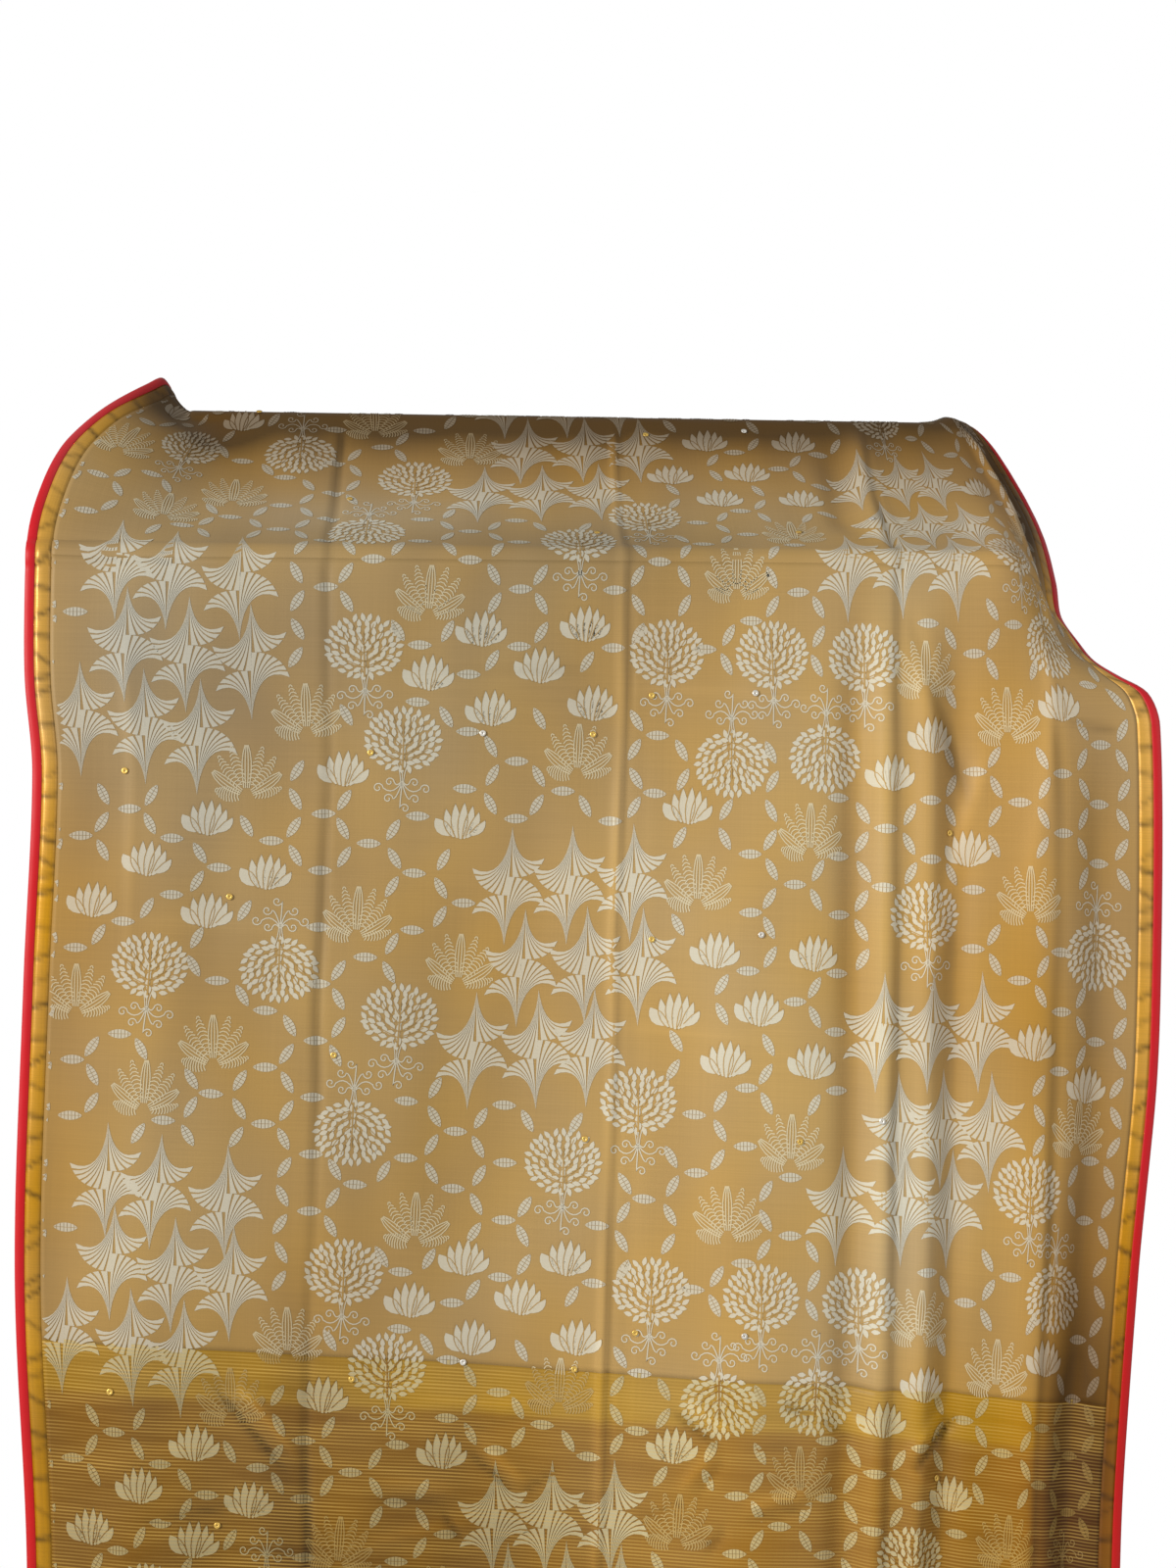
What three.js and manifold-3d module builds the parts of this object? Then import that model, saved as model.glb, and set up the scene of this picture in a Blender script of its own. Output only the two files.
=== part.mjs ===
// A printed saree hung over a rail of two bars, in millimetres, +Z up.
// The origin is the middle of the rear bar's axis. The saree is seen from the front, which faces -Y.
//
// The cloth is one long strip. A point on it has two measures: u across the cloth from its left selvedge,
// and v along its path, which is 0 at the front bar's foremost line, grows down the front fall
// and is negative on the slope between the bars and down the rear fall.
import * as THREE from "three";
import { mergeVertices } from "three/addons/utils/BufferGeometryUtils.js";
import Module from "manifold-3d";

const wasm = await Module();
wasm.setup();

// Sizes of the cloth
const CLOTH_WIDTH = 1140;
const WALL = 1.2;
const PIPING_WIDTH = 9;
const PIPING_PROUD = 1;
const BORDER_WIDTH = 14;
const SEAM_GAP = 0.5; // in the flat cloth; the gathers at the bars squeeze it to about 0.3
const PALLU_START = 771;
const PALLU_END = 1621;
const REAR_DROP = 1750;
const WEFT_SKEW = 94; // how much lower the right selvedge hangs, for the same weft thread, than the left one

// Sizes of the rail
const BAR_RADIUS = 15;
const REAR_BAR = { left: -372, right: 372, y: 0, z: 0 };
const FRONT_BAR = { left: -525, right: 372, y: -204, z: -150 };
const ARM_RADIUS = 7;
const ARM_DROP = 15; // the arms run this far below the line between the two bars
const ARM_X = [-350, 345];
const BAR_SIDES = 24;
const ARM_SIDES = 16;
const BAR_CHAMFER = 2;

// How the layers lie on the bars
const LAYER_GAP = 0.5;
const FRONT_SURFACE = BAR_RADIUS + LAYER_GAP + WALL;
const REAR_SURFACE = BAR_RADIUS + 2 * (LAYER_GAP + WALL);
const TUCK_AT_BAR = LAYER_GAP + 2 * WALL; // from the rear fall's outer side to the turned-up layer's far side
const TUCK_AT_FOLD = 5;
const SLOPE_AT_FRONT = THREE.MathUtils.degToRad(24);
const SLOPE_AT_REAR = THREE.MathUtils.degToRad(49);

// The path of the cloth's outer side in the plane across the bars, as y and z with an outward normal
const frontArc = FRONT_SURFACE * (Math.PI / 2 - SLOPE_AT_FRONT);
const rearArc = REAR_SURFACE * (Math.PI / 2 + SLOPE_AT_REAR);
const onBar = (bar, radius, tilt) => [bar.y - radius * Math.sin(tilt), bar.z + radius * Math.cos(tilt)];
const slopeFoot = onBar(FRONT_BAR, FRONT_SURFACE, SLOPE_AT_FRONT);
const slopeHead = onBar(REAR_BAR, REAR_SURFACE, SLOPE_AT_REAR);

// The sagging slope is a parabola whose control point is where its two end tangents cross.
const slopeBend = (() => {
  const [fy, fz] = slopeFoot;
  const [hy, hz] = slopeHead;
  const footRise = Math.tan(SLOPE_AT_FRONT);
  const headRise = Math.tan(SLOPE_AT_REAR);
  const y = (hz - fz + footRise * fy - headRise * hy) / (footRise - headRise);
  return [y, fz + footRise * (y - fy)];
})();
const slopeCurve = new THREE.QuadraticBezierCurve(
  new THREE.Vector2(...slopeFoot),
  new THREE.Vector2(...slopeBend),
  new THREE.Vector2(...slopeHead),
);
const slopeLength = slopeCurve.getLength();
const REAR_FALL_START = -(frontArc + slopeLength + rearArc);
const REAR_FALL_END = REAR_FALL_START - REAR_DROP;
const REAR_CREST = -(frontArc + slopeLength + REAR_SURFACE * SLOPE_AT_REAR);
const SLOPE_HEAD = -(frontArc + slopeLength);

function profile(v) {
  if (v >= 0) return { y: FRONT_BAR.y - FRONT_SURFACE, z: FRONT_BAR.z - v, ny: -1, nz: 0 };
  if (v > -frontArc) {
    const tilt = Math.PI / 2 + v / FRONT_SURFACE;
    const [y, z] = onBar(FRONT_BAR, FRONT_SURFACE, tilt);
    return { y, z, ny: -Math.sin(tilt), nz: Math.cos(tilt) };
  }
  if (v > SLOPE_HEAD) {
    const share = (-v - frontArc) / slopeLength;
    const point = slopeCurve.getPointAt(share);
    const along = slopeCurve.getTangentAt(share);
    return { y: point.x, z: point.y, ny: -along.y, nz: along.x };
  }
  if (v > REAR_FALL_START) {
    const tilt = SLOPE_AT_REAR - (SLOPE_HEAD - v) / REAR_SURFACE;
    const [y, z] = onBar(REAR_BAR, REAR_SURFACE, tilt);
    return { y, z, ny: -Math.sin(tilt), nz: Math.cos(tilt) };
  }
  return { y: REAR_SURFACE, z: v - REAR_FALL_START, ny: 1, nz: 0 };
}

// Where the warp threads at the three fold creases, and at the left and right shoulders, lie across the rail
const LEFT_SHOULDER = 200;
const RIGHT_SHOULDER = 960;
const ACROSS = [
  { v: -2080, shoulderL: -340, crease1: -258, crease2: 12, crease3: 285, shoulderR: 378 },
  { v: -1000, shoulderL: -340, crease1: -256, crease2: 18, crease3: 288, shoulderR: 380 },
  { v: -500, shoulderL: -322, crease1: -245, crease2: 32, crease3: 298, shoulderR: 372 },
  { v: -291, shoulderL: -318, crease1: -240, crease2: 38, crease3: 301, shoulderR: 362 },
  { v: -150, shoulderL: -328, crease1: -246, crease2: 30, crease3: 296, shoulderR: 376 },
  { v: 0, shoulderL: -339, crease1: -255, crease2: 24, crease3: 290, shoulderR: 384 },
  { v: 200, shoulderL: -340, crease1: -257, crease2: 20, crease3: 291, shoulderR: 388 },
  { v: 500, shoulderL: -349, crease1: -266, crease2: 11, crease3: 288, shoulderR: 385 },
  { v: 690, shoulderL: -355, crease1: -273, crease2: 6, crease3: 286, shoulderR: 380 },
  { v: 1000, shoulderL: -354, crease1: -276, crease2: -4, crease3: 277, shoulderR: 368 },
  { v: 1700, shoulderL: -354, crease1: -279, crease2: -8, crease3: 273, shoulderR: 364 },
];

// The selvedges in space: x, y and z, with the direction in which the cloth runs out to each
const LEFT_EDGE = [
  { v: -1100, x: -528, y: 18, z: -780, tx: -1, ty: 0, tz: 0 },
  { v: -700, x: -502, y: 20, z: -380, tx: -1, ty: 0.1, tz: 0 },
  { v: -500, x: -462, y: 26, z: -178, tx: -0.9, ty: 0.3, tz: 0.1 },
  { v: -380, x: -428, y: 32, z: -48, tx: -0.6, ty: 0.5, tz: 0.5 },
  { v: -325, x: -412, y: 22, z: 28, tx: -0.4, ty: 0.2, tz: 0.9 },
  { v: -291, x: -419, y: 0, z: 51, tx: -0.5, ty: 0, tz: 0.85 },
  { v: -266, x: -434, y: -21, z: 42, tx: -0.65, ty: -0.1, tz: 0.75 },
  { v: -214, x: -469, y: -61, z: 15, tx: -0.75, ty: 0.35, tz: 0.5 },
  { v: -170, x: -494, y: -96, z: -12, tx: -0.8, ty: 0.35, tz: 0.35 },
  { v: -128, x: -511, y: -131, z: -39, tx: -0.88, ty: 0.25, tz: 0.3 },
  { v: -78, x: -524, y: -171, z: -77, tx: -0.95, ty: 0.1, tz: 0.2 },
  { v: -24, x: -533, y: -206, z: -124, tx: -1, ty: 0, tz: 0.1 },
  { v: 30, x: -535, y: -221, z: -180, tx: -1, ty: 0, tz: 0 },
  { v: 113, x: -535, y: -221, z: -263, tx: -1, ty: 0, tz: 0 },
  { v: 202, x: -528, y: -221, z: -352, tx: -1, ty: 0, tz: 0 },
  { v: 392, x: -536, y: -221, z: -542, tx: -1, ty: 0, tz: 0 },
  { v: 664, x: -544, y: -221, z: -814, tx: -1, ty: 0, tz: 0 },
  { v: 936, x: -533, y: -221, z: -1086, tx: -1, ty: 0, tz: 0 },
  { v: 1700, x: -530, y: -221, z: -1850, tx: -1, ty: 0, tz: 0 },
];
const RIGHT_EDGE = [
  { v: -1100, x: 548, y: 18, z: -780, tx: 1, ty: 0, tz: 0 },
  { v: -700, x: 520, y: 22, z: -380, tx: 1, ty: 0.1, tz: 0 },
  { v: -500, x: 472, y: 28, z: -180, tx: 0.9, ty: 0.3, tz: -0.1 },
  { v: -380, x: 432, y: 34, z: -62, tx: 0.8, ty: 0.4, tz: -0.3 },
  { v: -325, x: 412, y: 24, z: -6, tx: 0.8, ty: 0.3, tz: -0.4 },
  { v: -291, x: 410, y: 4, z: 18, tx: 0.85, ty: 0.1, tz: -0.4 },
  { v: -262, x: 437, y: 6, z: 5, tx: 0.8, ty: 0.28, tz: -0.45 },
  { v: -203, x: 470, y: 0, z: -43, tx: 0.85, ty: 0.25, tz: -0.4 },
  { v: -131, x: 488, y: -36, z: -101, tx: 0.8, ty: 0.35, tz: -0.4 },
  { v: -54, x: 486, y: -91, z: -156, tx: 0.8, ty: 0.35, tz: -0.4 },
  { v: -3, x: 481, y: -126, z: -194, tx: 0.75, ty: 0.35, tz: -0.45 },
  { v: 30, x: 488, y: -151, z: -217, tx: 0.75, ty: 0.35, tz: -0.5 },
  { v: 66, x: 500, y: -176, z: -241, tx: 0.85, ty: 0.3, tz: -0.4 },
  { v: 98, x: 520, y: -196, z: -257, tx: 0.95, ty: 0.25, tz: -0.15 },
  { v: 125, x: 542, y: -212, z: -273, tx: 1, ty: 0.1, tz: 0 },
  { v: 155, x: 551, y: -221, z: -305, tx: 1, ty: 0, tz: 0 },
  { v: 306, x: 553, y: -221, z: -456, tx: 1, ty: 0, tz: 0 },
  { v: 497, x: 548, y: -221, z: -647, tx: 1, ty: 0, tz: 0 },
  { v: 688, x: 529, y: -221, z: -838, tx: 1, ty: 0, tz: 0 },
  { v: 973, x: 511, y: -221, z: -1123, tx: 1, ty: 0, tz: 0 },
  { v: 1700, x: 504, y: -221, z: -1850, tx: 1, ty: 0, tz: 0 },
];

// Soft folds that run along the warp, as ridges (out > 0) and troughs, each fading in and out over the fade
const FOLDS = [
  { u: 110, out: 9, half: 70, from: 60, to: 1800, fade: 260 },
  { u: 430, out: -7, half: 90, from: 90, to: 1800, fade: 300 },
  { u: 700, out: 8, half: 70, from: 80, to: 1800, fade: 320 },
  { u: 812, out: -9, half: 17, from: 20, to: 1800, fade: 140 },
  { u: 842, out: 8, half: 15, from: 15, to: 1800, fade: 140 },
  { u: 886, out: 8, half: 16, from: 15, to: 1800, fade: 140 },
  { u: 918, out: -8, half: 18, from: 20, to: 1800, fade: 160 },
  { u: 1010, out: 10, half: 36, from: 90, to: 1800, fade: 120 },
  { u: 1078, out: -9, half: 22, from: 120, to: 1800, fade: 180 },
  { u: 812, out: -7, half: 18, from: -250, to: -45, fade: 60 },
  { u: 845, out: 6, half: 16, from: -270, to: -35, fade: 50 },
  { u: 1062, out: 9, half: 16, from: -262, to: 70, fade: 50 },
  { u: 1096, out: -7, half: 13, from: -262, to: 70, fade: 50 },
  { u: 90, out: 20, half: 40, from: -2200, to: -400, fade: 380 },
  { u: 190, out: -15, half: 40, from: -2200, to: -420, fade: 420 },
  { u: 300, out: 17, half: 45, from: -2200, to: -410, fade: 400 },
  { u: 420, out: -14, half: 50, from: -2200, to: -450, fade: 480 },
  { u: 545, out: 15, half: 48, from: -2200, to: -430, fade: 430 },
  { u: 660, out: -13, half: 45, from: -2200, to: -480, fade: 450 },
  { u: 770, out: 16, half: 42, from: -2200, to: -400, fade: 420 },
  { u: 868, out: -14, half: 36, from: -2200, to: -420, fade: 400 },
  { u: 955, out: 18, half: 36, from: -2200, to: -400, fade: 360 },
  { u: 1050, out: -14, half: 38, from: -2200, to: -420, fade: 400 },
];

// A smooth curve through the rows of a table, for one of its columns
function throughRows(rows, column, v) {
  const last = rows.length - 1;
  if (v <= rows[0].v) return rows[0][column];
  if (v >= rows[last].v) return rows[last][column];
  let i = 0;
  while (rows[i + 1].v < v) i++;
  const steepness = (k) => {
    const a = rows[Math.max(k - 1, 0)];
    const b = rows[Math.min(k + 1, last)];
    return (b[column] - a[column]) / (b.v - a.v);
  };
  const span = rows[i + 1].v - rows[i].v;
  const t = (v - rows[i].v) / span;
  return hermite(t, rows[i][column], steepness(i) * span, rows[i + 1][column], steepness(i + 1) * span);
}

function hermite(t, start, startPull, end, endPull) {
  const t2 = t * t;
  const t3 = t2 * t;
  const rest = 1 - 3 * t2 + 2 * t3;
  return rest * start + (t3 - 2 * t2 + t) * startPull + (1 - rest) * end + (t3 - t2) * endPull;
}

const fadeIn = (x) => THREE.MathUtils.smoothstep(x, 0, 1);

function foldHeight(u, v) {
  let height = 0;
  for (const fold of FOLDS) {
    const away = (u - fold.u) / fold.half;
    const reach = fadeIn((v - fold.from) / fold.fade) * fadeIn((fold.to - v) / fold.fade);
    height += fold.out * Math.exp(-away * away) * reach;
  }
  return height;
}

// A point of the panel between the two shoulders, before its folds
function panelPoint(u, v) {
  const stops = [
    { v: LEFT_SHOULDER, x: throughRows(ACROSS, "shoulderL", v) },
    { v: CLOTH_WIDTH / 4, x: throughRows(ACROSS, "crease1", v) },
    { v: CLOTH_WIDTH / 2, x: throughRows(ACROSS, "crease2", v) },
    { v: (CLOTH_WIDTH * 3) / 4, x: throughRows(ACROSS, "crease3", v) },
    { v: RIGHT_SHOULDER, x: throughRows(ACROSS, "shoulderR", v) },
  ];
  const { y, z } = profile(v);
  return new THREE.Vector3(throughRows(stops, "x", u), y, z);
}

const PLAIN_BEHIND = -1100; // below here on the rear fall both edges lie in the fall's own plane
const PULL_SHARE = 2; // how far the cloth bows out between a shoulder and its selvedge, against their distance

// A point between a shoulder and its selvedge: it leaves the panel level and arrives in the edge's direction
function wingPoint(u, v, shoulder, edge) {
  const rows = edge.rows;
  const from = panelPoint(shoulder, v);
  const to = new THREE.Vector3(...["x", "y", "z"].map((c) => throughRows(rows, c, v)));
  if (v >= edge.plain || v <= PLAIN_BEHIND) {
    const { y, z } = profile(v);
    to.y = y;
    to.z = z;
  }
  const out = new THREE.Vector3(...["tx", "ty", "tz"].map((c) => throughRows(rows, c, v))).normalize();
  const width = Math.abs(edge.u - shoulder);
  const pull = Math.min(width, PULL_SHARE * from.distanceTo(to));
  const t = Math.abs(u - shoulder) / width;
  return new THREE.Vector3(
    hermite(t, from.x, edge.side * pull, to.x, out.x * pull),
    hermite(t, from.y, 0, to.y, out.y * pull),
    hermite(t, from.z, 0, to.z, out.z * pull),
  );
}
const LEFT = { u: 0, side: -1, rows: LEFT_EDGE, plain: 30 };
const RIGHT = { u: CLOTH_WIDTH, side: 1, rows: RIGHT_EDGE, plain: 155 };

// Cloth that would sink into a bar lies on it instead, and comes off it softly past the bar's end.
const END_REACH = 16;
const END_SOFTNESS = 30;
function restOnBar(point, bar, surface) {
  const past = Math.max(bar.left - point.x, point.x - bar.right, END_REACH) - END_REACH;
  const needed = surface * (1 - fadeIn(past / END_SOFTNESS));
  const away = Math.hypot(point.y - bar.y, point.z - bar.z);
  if (away >= needed) return;
  point.y = bar.y + ((point.y - bar.y) * needed) / away;
  point.z = bar.z + ((point.z - bar.z) * needed) / away;
}

function drape(u, v) {
  let point;
  if (u < LEFT_SHOULDER) point = wingPoint(u, v, LEFT_SHOULDER, LEFT);
  else if (u > RIGHT_SHOULDER) point = wingPoint(u, v, RIGHT_SHOULDER, RIGHT);
  else point = panelPoint(u, v);
  const { ny, nz } = profile(v);
  const height = foldHeight(u, v);
  point.y += ny * height;
  point.z += nz * height;
  restOnBar(point, FRONT_BAR, FRONT_SURFACE);
  restOnBar(point, REAR_BAR, REAR_SURFACE);
  return point;
}

// The cloth's outer side and its outward normal. turn is 0 on the outer layer, PI on the layer turned up inside
// the rear fall, and between the two round the fold at its foot.
const STEP = 2;
function clothSide(u, v, turn) {
  const centre = drape(u, v);
  const down = drape(u, v - STEP).sub(drape(u, v + STEP)).normalize();
  const across = drape(u + STEP, v).sub(drape(u - STEP, v)).normalize();
  const outward = across.clone().cross(down).normalize();
  if (turn === 0) return { point: centre, normal: outward };
  const lower = THREE.MathUtils.clamp((REAR_FALL_START - v) / REAR_DROP, 0, 1);
  const radius = THREE.MathUtils.lerp(TUCK_AT_BAR, TUCK_AT_FOLD, lower) / 2;
  const normal = outward.clone().multiplyScalar(Math.cos(turn)).addScaledVector(down, Math.sin(turn));
  const point = centre.addScaledVector(outward, -radius).addScaledVector(normal, radius);
  return { point, normal };
}

// Rows of the cloth. Each has v at the middle of the width, the share of the weft's skew, and the turn.
function rowsBetween(from, to, count, turn = 0, skewFrom = 0, skewTo = 0) {
  return Array.from({ length: count + 1 }, (_, i) => {
    const share = i / count;
    return {
      v: THREE.MathUtils.lerp(from, to, share),
      skew: THREE.MathUtils.lerp(skewFrom, skewTo, share),
      turn,
    };
  });
}

function foldRows(count) {
  return Array.from({ length: count + 1 }, (_, i) => ({
    v: REAR_FALL_END,
    skew: 0,
    turn: Math.PI * (1 - i / count),
  }));
}

const HALF_GAP = SEAM_GAP / 2;
const BAR_SPREAD = 600; // the rear fall's folds open out over this length below the bar, where rows are closer
const BAR_SPREAD_ROWS = { from: 490, to: 40 };
const SLOPE_ENDS = { head: 25, foot: 15 }; // from the bars' arcs to the slope's first and last free rows
const ROW_BELOW_FLARE = 65;
const FLARE_END = 160; // below here the right selvedge, which came off the bar's end, hangs plumb
const belowFlare = FLARE_END + ROW_BELOW_FLARE;
const crestToHead = rowsBetween(REAR_CREST, SLOPE_HEAD, 3);
const rearArcRows = rowsBetween(REAR_FALL_START, REAR_CREST, 5);
const rearFallRows = [
  ...rowsBetween(REAR_FALL_END, REAR_FALL_START - BAR_SPREAD, 6),
  ...rowsBetween(REAR_FALL_START - BAR_SPREAD_ROWS.from, REAR_FALL_START - BAR_SPREAD_ROWS.to, 6),
];
const turnedUp = (rows) => [...rows].reverse().map((row) => ({ ...row, turn: Math.PI }));
const STRETCHES = {
  rear_inner: [
    ...turnedUp(crestToHead),
    ...turnedUp(rearArcRows).slice(1),
    ...turnedUp(rearFallRows).slice(0, -1),
    { v: REAR_FALL_END + SEAM_GAP, skew: 0, turn: Math.PI },
  ],
  rear_fall: [
    ...foldRows(5),
    ...rearFallRows.slice(1),
    ...rearArcRows.slice(0, -1),
    { v: REAR_CREST - SEAM_GAP, skew: 0, turn: 0 },
  ],
  top_slope: [
    ...crestToHead,
    ...rowsBetween(SLOPE_HEAD + SLOPE_ENDS.head, -frontArc - SLOPE_ENDS.foot, 8),
    ...rowsBetween(-frontArc, -HALF_GAP, 4),
  ],
  front_fall: [
    ...rowsBetween(HALF_GAP, FLARE_END, 6, 0, 0, FLARE_END / PALLU_START),
    ...rowsBetween(belowFlare, PALLU_START - HALF_GAP, 9, 0, belowFlare / PALLU_START, 1),
  ],
  pallu: rowsBetween(PALLU_START + HALF_GAP, PALLU_END - PIPING_WIDTH - SEAM_GAP, 9, 0, 1, 1),
};

function columns(from, to, count) {
  return Array.from({ length: count + 1 }, (_, i) => THREE.MathUtils.lerp(from, to, i / count));
}

const bodyLeft = PIPING_WIDTH + BORDER_WIDTH + 2 * SEAM_GAP;
const bodyRight = CLOTH_WIDTH - bodyLeft;
// Columns lie closer where the narrow folds are.
const LEFT_WING = 180;
const PANEL = { from: 220, to: 760 };
const NARROW_FOLDS = { from: 795, to: 936 };
const RIGHT_WING = 965;
const BODY_COLUMNS = [
  ...columns(bodyLeft, LEFT_WING, 4),
  ...columns(PANEL.from, PANEL.to, 7),
  ...columns(NARROW_FOLDS.from, NARROW_FOLDS.to, 6),
  ...columns(RIGHT_WING, bodyRight, 7),
];

// A closed wall over a grid of rows and columns of the cloth
function sheetGeometry(rows, cols, proud = 0) {
  const positions = [];
  const indices = [];
  const sides = [proud, -WALL];
  for (const row of rows)
    for (const u of cols) {
      const v = row.v + row.skew * WEFT_SKEW * (u / CLOTH_WIDTH - 0.5);
      const { point, normal } = clothSide(u, v, row.turn);
      for (const offset of sides) positions.push(...point.clone().addScaledVector(normal, offset));
    }
  const at = (i, j, side) => 2 * (i * cols.length + j) + side;
  const quad = (a, b, c, d) => indices.push(a, b, c, c, b, d);
  const lastRow = rows.length - 1;
  const lastCol = cols.length - 1;
  for (let i = 0; i < lastRow; i++)
    for (let j = 0; j < lastCol; j++) {
      const turnedUnder = rows[i + 1].turn === Math.PI; // split like the layer outside it, so the two stay apart
      const [a, b, c, d] = turnedUnder
        ? [[i, j + 1], [i, j], [i + 1, j + 1], [i + 1, j]]
        : [[i, j], [i + 1, j], [i, j + 1], [i + 1, j + 1]];
      quad(at(...a, 0), at(...b, 0), at(...c, 0), at(...d, 0));
      quad(at(...a, 1), at(...c, 1), at(...b, 1), at(...d, 1));
    }
  for (let i = 0; i < lastRow; i++) {
    quad(at(i, 0, 1), at(i + 1, 0, 1), at(i, 0, 0), at(i + 1, 0, 0));
    quad(at(i, lastCol, 1), at(i, lastCol, 0), at(i + 1, lastCol, 1), at(i + 1, lastCol, 0));
  }
  for (let j = 0; j < lastCol; j++) {
    quad(at(0, j, 1), at(0, j, 0), at(0, j + 1, 1), at(0, j + 1, 0));
    quad(at(lastRow, j, 0), at(lastRow, j, 1), at(lastRow, j + 1, 0), at(lastRow, j + 1, 1));
  }
  const geometry = new THREE.BufferGeometry();
  geometry.setAttribute("position", new THREE.Float32BufferAttribute(positions, 3));
  geometry.setIndex(indices);
  geometry.computeVertexNormals();
  return geometry;
}

// A round bar with chamfered ends, along X
function barGeometry(bar) {
  const half = (bar.right - bar.left) / 2;
  const outline = [
    new THREE.Vector2(0, -half),
    new THREE.Vector2(BAR_RADIUS - BAR_CHAMFER, -half),
    new THREE.Vector2(BAR_RADIUS, BAR_CHAMFER - half),
    new THREE.Vector2(BAR_RADIUS, half - BAR_CHAMFER),
    new THREE.Vector2(BAR_RADIUS - BAR_CHAMFER, half),
    new THREE.Vector2(0, half),
  ];
  return new THREE.LatheGeometry(outline, BAR_SIDES)
    .rotateZ(-Math.PI / 2)
    .translate((bar.left + bar.right) / 2, bar.y, bar.z);
}

// Booleans: a geometry as a solid, and a solid back as a geometry
function solidOf(geometry) {
  const bare = geometry.clone();
  bare.deleteAttribute("normal");
  bare.deleteAttribute("uv");
  const merged = mergeVertices(bare, 1e-4);
  return new wasm.Manifold(
    new wasm.Mesh({
      numProp: 3,
      vertProperties: merged.attributes.position.array,
      triVerts: new Uint32Array(merged.index.array),
    }),
  );
}

function geometryOf(solid) {
  const mesh = solid.getMesh();
  const geometry = new THREE.BufferGeometry();
  geometry.setAttribute("position", new THREE.BufferAttribute(mesh.vertProperties, 3));
  geometry.setIndex(new THREE.BufferAttribute(mesh.triVerts, 1));
  geometry.computeVertexNormals();
  return geometry;
}

// A straight arm from bar to bar, its ends coped round the bars with a seam gap
function armGeometry(x) {
  const run = new THREE.Vector3(0, REAR_BAR.y - FRONT_BAR.y, REAR_BAR.z - FRONT_BAR.z);
  const drop = new THREE.Vector3(0, run.z, -run.y).normalize().multiplyScalar(ARM_DROP);
  const middle = new THREE.Vector3(x, (REAR_BAR.y + FRONT_BAR.y) / 2, (REAR_BAR.z + FRONT_BAR.z) / 2);
  const rod = new THREE.CylinderGeometry(ARM_RADIUS, ARM_RADIUS, run.length(), ARM_SIDES);
  rod.applyQuaternion(
    new THREE.Quaternion().setFromUnitVectors(new THREE.Vector3(0, 1, 0), run.clone().normalize()),
  );
  rod.translate(middle.x + drop.x, middle.y + drop.y, middle.z + drop.z);
  const copes = [REAR_BAR, FRONT_BAR].map((bar) => {
    const reach = new THREE.CylinderGeometry(
      BAR_RADIUS + SEAM_GAP,
      BAR_RADIUS + SEAM_GAP,
      bar.right - bar.left,
      BAR_SIDES,
    );
    return solidOf(reach.rotateZ(-Math.PI / 2).translate((bar.left + bar.right) / 2, bar.y, bar.z));
  });
  return geometryOf(copes.reduce((arm, cope) => arm.subtract(cope), solidOf(rod)));
}

const cloth = new THREE.MeshStandardMaterial({ color: 0xb4965f, roughness: 0.62, metalness: 0 });
const palluCloth = new THREE.MeshStandardMaterial({ color: 0xa57f35, roughness: 0.5, metalness: 0.15 });
const zari = new THREE.MeshStandardMaterial({ color: 0xd6a03c, roughness: 0.4, metalness: 0.6 });
const redSilk = new THREE.MeshStandardMaterial({ color: 0xcd0519, roughness: 0.5, metalness: 0 });
const darkPaint = new THREE.MeshStandardMaterial({ color: 0x1c1714, roughness: 0.45, metalness: 0.3 });

const saree = new THREE.Group();
saree.name = "saree_on_rail";

function addPiece(name, geometry, material) {
  const mesh = new THREE.Mesh(geometry, material);
  mesh.name = name;
  saree.add(mesh);
}

for (const [name, rows] of Object.entries(STRETCHES))
  addPiece(name, sheetGeometry(rows, BODY_COLUMNS), name === "pallu" ? palluCloth : cloth);

// The borders and the piping run the whole length, from the plain end to the pallu's end.
const wholeLength = Object.values(STRETCHES).flat();
const borderInner = PIPING_WIDTH + SEAM_GAP;
const borderOuter = borderInner + BORDER_WIDTH;
const BORDERS = {
  border_left: [borderInner, borderOuter],
  border_right: [CLOTH_WIDTH - borderOuter, CLOTH_WIDTH - borderInner],
};
const PIPINGS = {
  piping_left: [0, PIPING_WIDTH],
  piping_right: [CLOTH_WIDTH - PIPING_WIDTH, CLOTH_WIDTH],
};
for (const [name, edges] of Object.entries(BORDERS)) addPiece(name, sheetGeometry(wholeLength, edges), zari);
for (const [name, edges] of Object.entries(PIPINGS))
  addPiece(name, sheetGeometry(wholeLength, edges, PIPING_PROUD), redSilk);
const endRows = rowsBetween(PALLU_END - PIPING_WIDTH, PALLU_END, 1, 0, 1, 1);
addPiece("piping_end", sheetGeometry(endRows, [0, ...BODY_COLUMNS, CLOTH_WIDTH], PIPING_PROUD), redSilk);

addPiece("rail_rear", barGeometry(REAR_BAR), darkPaint);
addPiece("rail_front", barGeometry(FRONT_BAR), darkPaint);
addPiece("arm_left", armGeometry(ARM_X[0]), darkPaint);
addPiece("arm_right", armGeometry(ARM_X[1]), darkPaint);

export default saree;
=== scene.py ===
# The looks of a printed saree that hangs over a rail of two bars. Metres in the scene, +Z up.
#
# Cloth measures are in millimetres, as the shape's own tables are: u runs across the cloth from its left
# selvedge, and v along its path. v is 0 at the front bar's foremost line, grows down the front fall and is
# negative on the slope and the rear fall.
import math

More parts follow.
